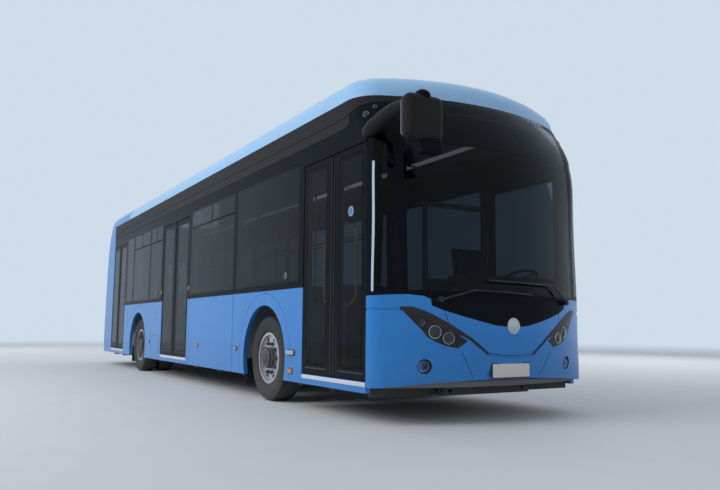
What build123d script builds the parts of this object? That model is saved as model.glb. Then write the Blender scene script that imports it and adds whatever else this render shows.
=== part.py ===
from build123d import *
import math
import os

# City bus, 12 m, low floor, three double doors on its right side.
# Millimetres. +Z is up, the front looks to -Y and the door side is -X.
# The origin is on the ground, under the middle of the whole vehicle.

# Main sizes
BODY_LENGTH = 12050
BODY_WIDTH = 2550
FRONT_OVERHANG = 2750
WHEELBASE = 6000
MIRROR_AHEAD = 260
MIRROR_BESIDE = 60
SKIRT_Z = 268
BELT_Z = 1240
HEADER_Z = 2600
ROOF_TOP = 3260
COVE_HIGH = 280
WALL_TOP = ROOF_TOP - COVE_HIGH
WALL = 50
SEAM = 4
TOUCH = 0.3

HALF = BODY_WIDTH / 2
INSIDE = HALF - WALL
BEYOND = HALF + 10
FRONT_Y = -(BODY_LENGTH - MIRROR_AHEAD) / 2
REAR_Y = FRONT_Y + BODY_LENGTH
FRONT_AXLE = FRONT_Y + FRONT_OVERHANG

# Floor, roof and underframe
FLOOR_Z = 366
FLOOR_DEEP = 50
FLOOR_LOW = FLOOR_Z - FLOOR_DEEP
ROOF_DEEP = 60
RAIL_DEEP = 90
RAIL_WIDE = 80
RAIL_X = 440
RAIL_LOW = FLOOR_LOW - RAIL_DEEP
RAIL_FIRST = -2300
CROSS_WIDE = 80
CROSS_END = 40
CROSS_STATIONS = (-2200, -1500, -800, 800, 1700, 2700, 3700, 4700, 6700, 7500, 8300)
AXLE_LOW = 132
TOW_BEAM_HALF = 520
TOW_BEAM_DEEP = 80
TOW_BORE_R = 20
JACK_PAD_R = 45
JACK_PAD_X = 520
JACK_PAD_HIGH = 12

# Wheels
TYRE_R = 480
TYRE_WIDE = 275
TYRE_BEAD_IN = 25
TYRE_SIDE_LOW = 70
TYRE_SIDE_HIGH = 62
TYRE_SHOULDER = 48
RIM_R = 290
RIM_WALL = 30
RIM_IN = 24
DISC_THICK = 16
DISC_SINK = 60
HAND_HOLES = 8
HAND_HOLE_R = 32
HAND_HOLE_RING = 205
HUB_R = 105
HUB_CAP = 20
FRONT_HUB_PROUD = 18
FRONT_HUB_LONG = 203
REAR_HUB_SINK = 25
REAR_HUB_LONG = 420
WHEEL_OUT = HALF - 50
TWIN_PITCH = 312
SPINDLE_R = 40
SPINDLE_SINK = 15
KINGPIN_X = WHEEL_OUT - 320
KINGPIN_R = 24
STEER_BOX_X = 560
STEER_BOX_HALF = 640
REAR_BOX_X = 600
REAR_BOX_HALF = 570
BOX_WALL = 12
BOX_TOP = 1090
ARCH_R = 600
ARCH_PANEL_R = 735

# Front axle: beam, uprights and steering knuckles
BEAM_HALF_WIDE = 55
UPRIGHT_OUT = 65
UPRIGHT_WIDE = 70
BOSS_R = 42
BOSS_NEAR = 82
BOSS_FAR = 150
KNUCKLE_R = 55
KNUCKLE_HALF = 76
FLANGE_R = 95
FLANGE_FROM = 80
FLANGE_THICK = 50

# Rear axle and drive motor
REAR_BEAM_HALF = 632
REAR_BEAM_WIDE = 70
REAR_UPRIGHT_THICK = 26
REAR_UPRIGHT_WIDE = 110
REAR_UPRIGHT_HIGH = 120
REAR_DRUM_R = 120
REAR_DRUM_END = 770
MOTOR_X = 450
MOTOR_BEHIND_WALL = 80
MOTOR_LONG = 520
MOTOR_TOP = 900

# The tail begins here, by distance behind the front axle
TAIL_LONG = 970
TAIL_START = BODY_LENGTH - FRONT_OVERHANG - TAIL_LONG

# Door openings, by distance behind the front axle
DOOR_TABLE = (
    # name, first jamb, last jamb
    ("front", -2270, -1010),
    ("middle", 2935, 4370),
    ("rear", TAIL_START - 1180, TAIL_START),
)
FRONT_JAMB = DOOR_TABLE[0][1]
DOOR_FIRST = dict((name, first) for name, first, last in DOOR_TABLE)
DOOR_LAST = dict((name, last) for name, first, last in DOOR_TABLE)
SILL_TOP = 364
DOOR_TOP = 2510
LEAF_GAP = 9
LEAF_THICK = 40
LEAF_OUTER_STILE = 62
LEAF_INNER_STILE = 112
LEAF_LOW_RAIL = 90
LEAF_HIGH_RAIL = 60
LEAF_INSET = 5
LEAF_MIDDLE_GAP = 18
DOOR_GLASS = 8
PIVOT_IN = 22
PIVOT_SIDE = 38
POST_R = 14
POST_BRACKET_HALF = 25
POST_BRACKET_END = 60
GEAR_DEEP = 150
GEAR_BOTTOM = 2530
GEAR_TOP = 2598
GEAR_END = 5

# Windows, by distance behind the front axle
WINDOW_SILL = 1300
WINDOW_HEAD = 2560
RIGHT_WINDOWS = (
    # first, last, sill, head
    (-905, 915, WINDOW_SILL, WINDOW_HEAD),
    (1020, 2830, WINDOW_SILL, WINDOW_HEAD),
    (4480, 5200, WINDOW_SILL, WINDOW_HEAD),
    (5290, 6450, WINDOW_SILL, WINDOW_HEAD),
    (6540, DOOR_FIRST["rear"] - 110, WINDOW_SILL, WINDOW_HEAD),
)
LEFT_WINDOWS = (
    # first, last, sill, head
    (-2110, -1080, 1120, 2480),
    (-905, 915, WINDOW_SILL, WINDOW_HEAD),
    (1020, 2830, WINDOW_SILL, WINDOW_HEAD),
    (2935, 4745, WINDOW_SILL, WINDOW_HEAD),
    (4850, 6450, WINDOW_SILL, WINDOW_HEAD),
    (6555, TAIL_START - 130, WINDOW_SILL, WINDOW_HEAD),
)
DRIVER_BELT = 1060
DRIVER_LAST = DOOR_LAST["front"]
PANE = 8
REBATE = 26
PANE_GAP = 2

# Lower side panels, by distance behind the front axle
RIGHT_SKIRTS = (
    # first, last, top
    (DOOR_LAST["front"], 980, BELT_Z),
    (980 + SEAM, DOOR_FIRST["middle"], BELT_Z),
    (DOOR_LAST["middle"], DOOR_FIRST["rear"], BELT_Z),
)
LEFT_SKIRTS = (
    # first, last, top
    (FRONT_JAMB, DRIVER_LAST, DRIVER_BELT),
    (DRIVER_LAST, 980, BELT_Z),
    (980 + SEAM, 2935, BELT_Z),
    (2935 + SEAM, 4930, BELT_Z),
    (4930 + SEAM, DOOR_FIRST["rear"] - SEAM, BELT_Z),
    (DOOR_FIRST["rear"], TAIL_START, BELT_Z),
)

# Nose and tail outline at each height. Setback is how far the middle stands back from
# the bus's end, and corner start how far back the side wall begins to turn.
NOSE_START = -1890
NOSE_TABLE = (
    # height, setback, corner radius, corner start
    (SKIRT_Z, 120, 190, 500),
    (480, 45, 170, 480),
    (900, 0, 160, 480),
    (1250, 15, 160, 480),
    (2100, 50, 180, 495),
    (2500, 105, 205, 530),
    (WALL_TOP - 200, 190, 255, 670),
    (WALL_TOP, 300, 320, 835),
)
TAIL_TABLE = (
    # height, setback, corner radius, corner start
    (SKIRT_Z, 60, 130, 290),
    (480, 0, 130, 230),
    (1300, 16, 130, 246),
    (2200, 50, 150, 300),
    (2500, 95, 170, 360),
    (WALL_TOP - 200, 180, 200, 470),
    (WALL_TOP, 300, 235, 640),
)

# Rounded roof edge: how much it draws in from its foot to the roof's top
COVE_STEPS = 6
COVE_SIDE = 260
COVE_FRONT = 330
COVE_FRONT_START = 420
COVE_REAR = 260
COVE_REAR_START = 370
COVE_CORNER = 130
COVE_WALL = 14
WELL_SIDE = 330
WELL_FRONT = 900
WELL_REAR = 1000
FAIRING_SPLIT = -1450
TAIL_CAP_START = DOOR_FIRST["rear"] - 100

# Front face, as half outlines seen from the front
GLASS_BOTTOM = 1140
GLASS_HEAD = WALL_TOP - 120
MASK_TOP_POINTS = ((0, 845), (200, 862), (360, 897), (540, 942), (700, 988), (806, 1030), (812, 1086), (870, 1112),
                   (1000, 1126), (1130, 1122), (1400, 1105))
GROOVE_POINTS = ((0, 592), (270, 608), (457, 745), (648, 860), (821, 953), (967, 1008), (1400, 1003))
GROOVE = 20
BUMPER_BOTTOM_POINTS = ((0, 386), (400, 378), (800, 358), (1050, 335), (1400, 306))
A_PILLAR_X = HALF - 255
QUARTER_X = HALF - 168
QUARTER_LOW = 1165
QUARTER_HIGH = 2560
QUARTER_LAST = -2335
LAMP_OUTLINE = ((1035, 974), (966, 972), (850, 920), (728, 858), (594, 786), (482, 724),
                (575, 659), (686, 681), (774, 716), (838, 752), (895, 822))
FOG_LAMP_X = 857
FOG_LAMP_Z = 505
FOG_LAMP_R = 62

# Tail openings
HATCH_HALF = 900
HATCH_LOW = 560
HATCH_HIGH = 1290
HATCH_GAP = 6
LOUVRE_HALF = 520
LOUVRE_HIGH = 22
LOUVRE_PITCH = 58
LOUVRE_FIRST = 700
LOUVRE_COUNT = 7
HINGE_X = 300
HINGE_IN = 10
HINGE_R = 9
HINGE_PIN_R = 4
HINGE_HALF = 52
HINGE_KNUCKLE = 26
HINGE_PLATE_IN = 30
HINGE_PLATE_OUT = 6
HINGE_PLATE_HIGH = 46
REAR_BUMPER_TOP = HATCH_LOW - 40
REAR_WINDOW_HALF = 880
REAR_WINDOW_LOW = 1500
REAR_WINDOW_HIGH = 2300
REAR_LAMP_X = HALF - 145
REAR_LAMP_HALF = 75
REAR_LAMP_LOW = 640
REAR_LAMP_HIGH = 1150
REAR_LAMP_FROM = 500
BULKHEAD_AT = TAIL_START + 70
BULKHEAD_THICK = 20
BULKHEAD_TOP = 1380

# Driver's place
PLINTH_TOP = 600
PLINTH_X = 250
PLINTH_FIRST = -2146
PLINTH_LAST = -700
PLINTH_WALL = 20
PARTITION_AT = -1010
PARTITION_HALF = 15
PARTITION_TOP = 2300
PARTITION_FRAME = 60
PARTITION_GLASS_LOW = 1400
DASH_X = (-350, 1130)
DASH_WALL = 25
DASH_OUTLINE = (
    # distance behind the front axle, height
    (-2150, FLOOR_Z), (-2150, 1180), (-2260, 1330), (-2500, 1330), (-2640, 1130), (-2640, FLOOR_Z),
)
DASH_HOLLOW = (
    # distance behind the front axle, height
    (-2175, FLOOR_Z - 1), (-2175, 1170), (-2270, 1305), (-2480, 1305), (-2605, 1120), (-2605, FLOOR_Z - 1),
)
DRIVER_X = 760
DRIVER_AT = -1560
WHEEL_AT = -1985
WHEEL_Z = 1330
WHEEL_RING_R = 225
WHEEL_TUBE_R = 15
WHEEL_TILT = 28
COLUMN_R = 26
COLUMN_FOOT = (-2255, 1225)
CHAIR_BASE_HALF = 180
CHAIR_BASE_HIGH = 260
CHAIR_PAD_HALF = 240
CHAIR_PAD_HIGH = 120
CHAIR_BACK_HALF = 230
CHAIR_BACK_HIGH = 770

# Passenger seats
SEAT_WIDE = 430
SEAT_GAP = 20
SEAT_HIGH = 440
SEAT_DEEP = 420
SEAT_DROP = 30
SEAT_LEAN = 95
SEAT_BACK = 640
SEAT_SHELL = 32
SEAT_LEG_HALF = 40
SEAT_LEG_FROM = 260
SEAT_LEG_TO = 160
SEAT_PITCH = 750
SEAT_FIRST = 1150
PAIR_X = INSIDE - 15 - SEAT_WIDE - SEAT_GAP / 2
SINGLE_X = INSIDE - 10 - SEAT_WIDE / 2
REAR_SEAT_PITCH = 710
SEAT_LAST = WHEELBASE - REAR_BOX_HALF - 300
REAR_SEAT_FIRST = WHEELBASE + REAR_BOX_HALF + 470
REAR_SEAT_LAST = BULKHEAD_AT - 400
SEAT_ROWS = math.ceil((SEAT_LAST - SEAT_FIRST) / SEAT_PITCH)
REAR_SEAT_ROWS = math.ceil((REAR_SEAT_LAST - REAR_SEAT_FIRST) / REAR_SEAT_PITCH)
LEFT_SEATS = (
    [SEAT_FIRST + k * SEAT_PITCH for k in range(SEAT_ROWS)]
    + [REAR_SEAT_FIRST + k * REAR_SEAT_PITCH for k in range(REAR_SEAT_ROWS)])
SEAT_TABLE = (
    # x of the centre, distance behind the front axle, seats side by side
    [(PAIR_X, station, 2) for station in LEFT_SEATS]
    + [(-PAIR_X, SEAT_FIRST, 2), (-PAIR_X, SEAT_FIRST + SEAT_PITCH, 2),
       (-SINGLE_X, DOOR_FIRST["middle"] - 285, 1), (-PAIR_X, WHEELBASE - REAR_BOX_HALF - 530, 2)])

# Poles from floor to ceiling, and the grab rails that join them
POLE_X = 480
POLE_R = 16
GRAB_Z = 2050
GRAB_R = 14
RIGHT_POLES = (700, 2150, DOOR_LAST["middle"] + 60, WHEELBASE - 750, WHEELBASE + 595)
LEFT_POLES = (700, 2150, 3630, WHEELBASE - 750, WHEELBASE + 595, BULKHEAD_AT - 400)

# Boxes on the roof
UNIT_TABLE = (
    # distance behind the front axle, length, width, height
    (500, 2000, 1700, 200),
    (2900, 2000, 1700, 200),
    (5400, 2200, 1750, 230),
)
UNIT_CHAMFER = 35
FAN_R = 210
FAN_DEEP = 60
FAN_STATIONS = (4800, 5400, 6000)

# Mirror on the door side, camera pod on the driver's side
MIRROR_WIDE = 380
MIRROR_DEEP = 150
MIRROR_TOP = ROOF_TOP - 500
MIRROR_LOW = MIRROR_TOP - 500
MIRROR_ROUND = 45
MIRROR_ARM = (
    # distance in from the mirror's outer side, distance behind the mirror's front, height, radius
    (70, 95, MIRROR_TOP - 25, 38),
    (52, 520, MIRROR_TOP - 70, 48),
)
MIRROR_ROOT = (-2325, DOOR_TOP + 10)
MIRROR_ROOT_R = 52
POD_FIRST = -2240
POD_LONG = 190
POD_LOW = 2300
POD_HIGH = 90
POD_CHAMFER = 14

# Wipers, as points seen from the front
WIPERS = (
    # pivot, arm end, blade's first end, blade's middle, blade's last end, how far the arm stands off
    ((-733, 1085), (-430, 1168), (-470, 1170), (-120, 1160), (231, 1145), 34),
    ((792, 1090), (560, 1238), (552, 1240), (120, 1250), (-300, 1258), 52),
)
WIPER_ARM_R = 9
WIPER_BLADE_R = 8
WIPER_BOSS_R = 26

FLAP_X = 960
FLAP_INNER_REAR = 640
FLAP_THICK = 6
FLAP_LOW = 150
FLAP_HIGH = 450


def at(station):
    """Y of a place given by its distance behind the front axle."""
    return FRONT_AXLE + station


def block(x0, x1, y0, y1, z0, z1):
    """A box between two corners."""
    return Pos((x0 + x1) / 2, (y0 + y1) / 2, (z0 + z1) / 2) * Box(abs(x1 - x0), abs(y1 - y0), abs(z1 - z0))


def closed_wire(points):
    return Wire([Line(a, b) for a, b in zip(points, points[1:] + points[:1])])


def along_y(points, y0, y1):
    """A front view outline pushed through from y0 to y1."""
    return Solid.extrude(Face(closed_wire([(x, y0, z) for x, z in points])), Vector(0, y1 - y0, 0))


def along_x(points, x0, x1):
    """A side view outline pushed through from x0 to x1."""
    return Solid.extrude(Face(closed_wire([(x0, y, z) for y, z in points])), Vector(x1 - x0, 0, 0))


def rod(start, end, radius):
    """A round bar between two points."""
    a = Vector(*start)
    b = Vector(*end)
    return Solid.make_cylinder(radius, (b - a).length, Plane(a, z_dir=(b - a)))


def disc_x(x0, x1, y, z, radius):
    """A disc whose axis runs across the vehicle."""
    return rod((x0, y, z), (x1, y, z), radius)


def mirrored(shape):
    """The same shape on the other side of the vehicle."""
    return mirror(shape, about=Plane.YZ)


def write(name, *shapes):
    """Write one node as its separate solids."""
    bodies = []
    for shape in shapes:
        bodies.extend(shape.solids())
    whole = Compound(children=bodies) if len(bodies) > 1 else bodies[0]
    export_step(whole, os.path.join("parts", name + ".step"))


# Rounded ends of the body

def end_bow(run, across, corner):
    """Radius of the shallow bow that meets both corner arcs."""
    return (across ** 2 + run ** 2 - corner ** 2) / (2 * (run - corner))


def end_edges(z, tip, start, side, corner):
    """Corner, bow and corner of one end. The side wall turns at start, and the middle reaches tip."""
    forward = 1 if tip > start else -1
    run = abs(tip - start)
    across = side - corner
    bow = end_bow(run, across, corner)
    centre_y = tip - forward * bow
    turn = math.atan2(bow - run, across)
    first = (side, start, z)
    first_mid = (across + corner * math.cos(turn / 2), start + forward * corner * math.sin(turn / 2), z)
    first_bow = (bow * math.cos(turn), centre_y + forward * bow * math.sin(turn), z)
    last_bow = (-first_bow[0], first_bow[1], z)
    last_mid = (-first_mid[0], first_mid[1], z)
    last = (-side, start, z)
    arcs = [
        ThreePointArc(first, first_mid, first_bow),
        ThreePointArc(first_bow, (0, tip, z), last_bow),
        ThreePointArc(last_bow, last_mid, last),
    ]
    return arcs, first, last


def end_wire(z, tip, start, side, corner, back):
    """Closed outline of one end, flat at its back."""
    arcs, first, last = end_edges(z, tip, start, side, corner)
    corner_left = (side, back, z)
    corner_right = (-side, back, z)
    return Wire([Line(corner_left, first)] + arcs + [Line(last, corner_right), Line(corner_right, corner_left)])


def nose_solid(inset, back):
    return Solid.make_loft([
        end_wire(z, FRONT_Y + setback + inset, FRONT_Y + start, HALF - inset, corner - inset, back)
        for z, setback, corner, start in NOSE_TABLE])


def tail_solid(inset, back):
    return Solid.make_loft([
        end_wire(z, REAR_Y - setback - inset, REAR_Y - start, HALF - inset, corner - inset, back)
        for z, setback, corner, start in TAIL_TABLE], True)


def nose_y(x, z):
    """Y of the front face at a place seen from the front."""
    for low, high in zip(NOSE_TABLE, NOSE_TABLE[1:]):
        if z <= high[0]:
            break
    share = (z - low[0]) / (high[0] - low[0])
    setback, corner, start = [a + (b - a) * share for a, b in zip(low[1:], high[1:])]
    bow = end_bow(start - setback, HALF - corner, corner)
    return FRONT_Y + setback + bow - math.sqrt(bow ** 2 - x ** 2)


def cove_wire(step, inset, drop):
    """Outline of the whole body at one step up the rounded roof edge."""
    turn = math.radians(90 * step / COVE_STEPS)
    drawn = 1 - math.cos(turn)
    z = WALL_TOP + COVE_HIGH * math.sin(turn) - drop
    front_set, front_corner, front_start = NOSE_TABLE[-1][1:]
    rear_set, rear_corner, rear_start = TAIL_TABLE[-1][1:]
    side = HALF - COVE_SIDE * drawn - inset
    front, front_left, front_right = end_edges(
        z, FRONT_Y + front_set + COVE_FRONT * drawn + inset, FRONT_Y + front_start + COVE_FRONT_START * drawn,
        side, front_corner + COVE_CORNER * drawn - inset)
    rear, rear_left, rear_right = end_edges(
        z, REAR_Y - rear_set - COVE_REAR * drawn - inset, REAR_Y - rear_start - COVE_REAR_START * drawn,
        side, rear_corner + COVE_CORNER * drawn - inset)
    return Wire(front + rear + [Line(rear_left, front_left), Line(front_right, rear_right)])


def full(points):
    """A half outline completed by its mirror image, from right to left."""
    return [(-x, z) for x, z in reversed(points) if x > 0] + list(points)


def band(upper, lower, y0, y1):
    """Front view zone between two lines that both run from right to left."""
    return along_y(upper + lower[::-1], y0, y1)


# Nose

def write_nose():
    ahead = FRONT_Y - 100
    behind = at(NOSE_START)
    inner = nose_solid(WALL, behind + 20)
    under_skin = nose_solid(PANE, behind + 10)
    outer = nose_solid(0, behind)
    zone = block(-BEYOND, BEYOND, ahead, at(FRONT_JAMB), 0, WALL_TOP + 1)
    zone = zone + block(-BEYOND, BEYOND, ahead, behind, HEADER_Z, WALL_TOP + 1)
    wall = (outer - inner) & zone
    skin = (outer - under_skin) & zone
    groove = full(GROOVE_POINTS)
    groove_low = [(x, z - GROOVE) for x, z in groove]
    mask_top = full(MASK_TOP_POINTS)
    bumper = wall & band(groove_low, full(BUMPER_BOTTOM_POINTS), ahead, behind)
    lamps = []
    for side in (-1, 1):
        hole = along_y([(side * x, z) for x, z in LAMP_OUTLINE], ahead, behind)
        lamps.append(bumper & hole)
        bumper = bumper - hole
        fog_y = nose_y(FOG_LAMP_X, FOG_LAMP_Z)
        bumper = bumper - rod((side * FOG_LAMP_X, ahead, FOG_LAMP_Z), (side * FOG_LAMP_X, fog_y + WALL / 2, FOG_LAMP_Z),
                              FOG_LAMP_R)
    groove_strip = (wall - skin) & band(groove, groove_low, ahead, behind)
    mask = wall & band(mask_top, groove, ahead, behind)
    top = [(mask_top[-1][0], WALL_TOP + 1), (mask_top[0][0], WALL_TOP + 1)]
    upper = wall & along_y(mask_top + top, ahead, behind)
    glass = skin & block(-A_PILLAR_X, A_PILLAR_X, ahead, behind, GLASS_BOTTOM, WALL_TOP + 1)
    seen_through = block(-A_PILLAR_X + REBATE, A_PILLAR_X - REBATE, ahead, behind,
                         GLASS_BOTTOM + REBATE, GLASS_HEAD)
    frame = upper - glass - seen_through
    quarters = []
    for side in (-1, 1):
        last = at(QUARTER_LAST)
        pane = skin & block(side * QUARTER_X, side * BEYOND, ahead, last, QUARTER_LOW, QUARTER_HIGH)
        frame = frame - pane - block(side * (QUARTER_X + REBATE), side * BEYOND, ahead, last - REBATE,
                                     QUARTER_LOW + REBATE, QUARTER_HIGH - REBATE)
        quarters.append(pane)
    write("front_bumper", bumper)
    write("front_mask", mask, groove_strip)
    write("windshield", glass, *quarters)
    write("front_frame", frame)
    write("front_lamps", *lamps)
    return outer, inner


# Tail

def louvred(hatch):
    """The hatch with its row of air slots."""
    for k in range(LOUVRE_COUNT):
        z = LOUVRE_FIRST + k * LOUVRE_PITCH
        hatch = hatch - block(-LOUVRE_HALF, LOUVRE_HALF, REAR_Y - 2 * WALL, REAR_Y + WALL, z, z + LOUVRE_HIGH)
    return hatch


def hinged(hatch, upper):
    """Two hinges that carry the hatch from the wall above it."""
    y = REAR_Y - HINGE_IN
    z = HATCH_HIGH
    for side in (-1, 1):
        x = side * HINGE_X
        half = HINGE_KNUCKLE - 1
        hatch = hatch + rod((x - HINGE_HALF, y, z), (x + HINGE_HALF, y, z), HINGE_PIN_R)
        for x0 in (x - HINGE_HALF, x + HINGE_KNUCKLE):
            hatch = hatch + rod((x0, y, z), (x0 + HINGE_KNUCKLE, y, z), HINGE_R)
            hatch = hatch + block(x0, x0 + HINGE_KNUCKLE, y - HINGE_PLATE_IN, y + HINGE_PLATE_OUT,
                                  z - HINGE_PLATE_HIGH, z)
        upper = upper + rod((x - half, y, z), (x + half, y, z), HINGE_R)
        upper = upper + block(x - half, x + half, y - HINGE_PLATE_IN, y + HINGE_PLATE_OUT,
                              z, z + HINGE_PLATE_HIGH - HATCH_GAP)
        upper = upper - rod((x - HINGE_KNUCKLE, y, z), (x + HINGE_KNUCKLE, y, z), HINGE_PIN_R + TOUCH)
    return hatch, upper


def write_tail():
    behind = REAR_Y + 100
    start = at(TAIL_START)
    inner = tail_solid(WALL, start - 20)
    under_skin = tail_solid(PANE, start - 10)
    outer = tail_solid(0, start)
    wall = outer - inner
    skin = outer - under_skin
    hatch_hole = block(-HATCH_HALF, HATCH_HALF, start, behind, HATCH_LOW, HATCH_HIGH)
    hatch_body = block(-HATCH_HALF + HATCH_GAP, HATCH_HALF - HATCH_GAP, start, behind,
                       HATCH_LOW + HATCH_GAP, HATCH_HIGH - HATCH_GAP)
    window_zone = block(-REAR_WINDOW_HALF, REAR_WINDOW_HALF, start, behind, REAR_WINDOW_LOW, REAR_WINDOW_HIGH)
    window_hole = block(-REAR_WINDOW_HALF + REBATE, REAR_WINDOW_HALF - REBATE, start, behind,
                        REAR_WINDOW_LOW + REBATE, REAR_WINDOW_HIGH - REBATE)
    bumper_zone = block(-BEYOND, BEYOND, start - 1, behind, SKIRT_Z - 1, REAR_BUMPER_TOP)
    lower_zone = block(-BEYOND, BEYOND, start - 1, behind, REAR_BUMPER_TOP + SEAM, BELT_Z)
    upper_zone = block(-BEYOND, BEYOND, start - 1, behind, BELT_Z, WALL_TOP + 1)
    lower = (wall & lower_zone) - hatch_hole
    lamps = []
    for side in (-1, 1):
        lamp = skin & block(side * (REAR_LAMP_X - REAR_LAMP_HALF), side * (REAR_LAMP_X + REAR_LAMP_HALF),
                            start + REAR_LAMP_FROM, behind, REAR_LAMP_LOW, REAR_LAMP_HIGH)
        lamps.append(lamp)
        lower = lower - lamp
    pane = skin & window_zone
    upper = (wall & upper_zone) - pane - window_hole - hatch_hole
    hatch, upper = hinged(louvred(wall & hatch_body), upper)
    write("rear_bumper", wall & bumper_zone)
    write("rear_wall", lower, upper)
    write("rear_hatch", hatch)
    write("tail_lamps", *lamps)
    return inner, pane


# Sides

def window_parts(side, first, last, sill, head):
    """The cut for one window and its bonded pane."""
    outer = side * HALF
    seat = side * (HALF - PANE)
    inner = side * (INSIDE - 5)
    past = side * (HALF + 5)
    cut = block(seat, past, at(first), at(last), sill, head)
    cut = cut + block(inner, past, at(first + REBATE), at(last - REBATE), sill + REBATE, head - REBATE)
    pane = block(seat, outer, at(first + PANE_GAP), at(last - PANE_GAP), sill + PANE_GAP, head - PANE_GAP)
    return cut, pane


def side_frame(side, segments, header_low, windows):
    """Upper wall of one side: window segments under one header rail."""
    near = side * INSIDE
    far = side * HALF
    walls = [block(near, far, at(a), at(b), low, HEADER_Z) for a, b, low in segments]
    header = block(near, far, at(NOSE_START), at(TAIL_START), HEADER_Z, WALL_TOP)
    for a, b in header_low:
        header = header + block(near, far, at(a), at(b), DOOR_TOP, HEADER_Z)
    panes = []
    for window in windows:
        cut, pane = window_parts(side, *window)
        walls = [wall - cut for wall in walls]
        panes.append(pane)
    return walls + [header], panes


def arch_cutter(station, radius):
    return disc_x(-HALF - 20, HALF + 20, at(station), TYRE_R, radius)


def skirts(side, rows):
    """Lower panels of one side, with a separate surround at each wheel arch."""
    near = side * INSIDE
    far = side * HALF
    panels = []
    for first, last, top in rows:
        panel = block(near, far, at(first), at(last), SKIRT_Z, top)
        for station in (0, WHEELBASE):
            if first < station < last:
                ring = panel & arch_cutter(station, ARCH_PANEL_R)
                panels.append(ring - arch_cutter(station, ARCH_R))
                panel = panel - arch_cutter(station, ARCH_PANEL_R + SEAM)
        panels.append(panel)
    return panels


def write_sides():
    door_zones = [(first, last) for name, first, last in DOOR_TABLE]
    right_segments = [
        (DOOR_LAST["front"], DOOR_FIRST["middle"], BELT_Z),
        (DOOR_LAST["middle"], DOOR_FIRST["rear"], BELT_Z),
    ]
    left_segments = [
        (FRONT_JAMB, DRIVER_LAST, DRIVER_BELT),
        (DRIVER_LAST, TAIL_START, BELT_Z),
    ]
    right, right_panes = side_frame(-1, right_segments, door_zones, RIGHT_WINDOWS)
    left, left_panes = side_frame(1, left_segments, [], LEFT_WINDOWS)
    write("side_wall_right", *right)
    write("side_wall_left", *left)
    write("skirt_panels_right", *skirts(-1, RIGHT_SKIRTS))
    write("skirt_panels_left", *skirts(1, LEFT_SKIRTS))
    return right_panes + left_panes


# Floor, wheel boxes, underframe and roof

def wheel_box(station, inner_x, half_long):
    """Box over one wheel, open below and to the outside."""
    outer = block(inner_x - BOX_WALL, INSIDE, at(station) - half_long - BOX_WALL, at(station) + half_long + BOX_WALL,
                  FLOOR_LOW, BOX_TOP + BOX_WALL)
    hollow = block(inner_x, HALF, at(station) - half_long, at(station) + half_long, 0, BOX_TOP)
    return outer - hollow


def write_floor(nose_inner, tail_inner):
    start = at(FRONT_JAMB)
    end = at(TAIL_START)
    slab = block(-INSIDE, INSIDE, start, end, FLOOR_LOW, FLOOR_Z)
    slab = slab + (nose_inner & block(-INSIDE, INSIDE, FRONT_Y, start, FLOOR_LOW, FLOOR_Z))
    slab = slab + (tail_inner & block(-INSIDE, INSIDE, end, REAR_Y, FLOOR_LOW, FLOOR_Z))
    boxes = []
    for station, inner_x, half_long in ((0, STEER_BOX_X, STEER_BOX_HALF), (WHEELBASE, REAR_BOX_X, REAR_BOX_HALF)):
        box = wheel_box(station, inner_x, half_long)
        boxes += [box, mirrored(box)]
        for side in (-1, 1):
            slab = slab - block(side * (inner_x - BOX_WALL), side * HALF, at(station) - half_long - BOX_WALL,
                                at(station) + half_long + BOX_WALL, 0, FLOOR_Z + 1)
    bulkhead = block(-INSIDE, INSIDE, at(BULKHEAD_AT), at(BULKHEAD_AT) + BULKHEAD_THICK, FLOOR_Z, BULKHEAD_TOP)
    shelf = tail_inner & block(-INSIDE, INSIDE, at(BULKHEAD_AT), REAR_Y, BULKHEAD_TOP, BULKHEAD_TOP + BULKHEAD_THICK)
    write("floor", slab, bulkhead + shelf)
    write("wheel_boxes", *boxes)
    sills = [block(-INSIDE, -HALF, at(first) + SEAM, at(last) - SEAM, SKIRT_Z, SILL_TOP)
             for name, first, last in DOOR_TABLE]
    write("door_sills", *sills)


def write_underframe():
    first = at(RAIL_FIRST)
    last = at(TAIL_START + 500)
    rails = [block(side * (RAIL_X - RAIL_WIDE / 2), side * (RAIL_X + RAIL_WIDE / 2), first, last, RAIL_LOW, FLOOR_LOW)
             for side in (-1, 1)]
    frame = rails[0] + rails[1]
    for station in CROSS_STATIONS:
        frame = frame + block(-INSIDE + CROSS_END, INSIDE - CROSS_END, at(station) - CROSS_WIDE / 2,
                              at(station) + CROSS_WIDE / 2, RAIL_LOW, FLOOR_LOW)
    write("underframe", frame)
    beam = block(-TOW_BEAM_HALF, TOW_BEAM_HALF, first - TOW_BEAM_DEEP, first, RAIL_LOW, FLOOR_LOW)
    z = (RAIL_LOW + FLOOR_LOW) / 2
    for side in (-1, 1):
        beam = beam - rod((side * RAIL_X, first - TOW_BEAM_DEEP - 1, z), (side * RAIL_X, first + 1, z), TOW_BORE_R)
    write("tow_beam", beam)


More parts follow.
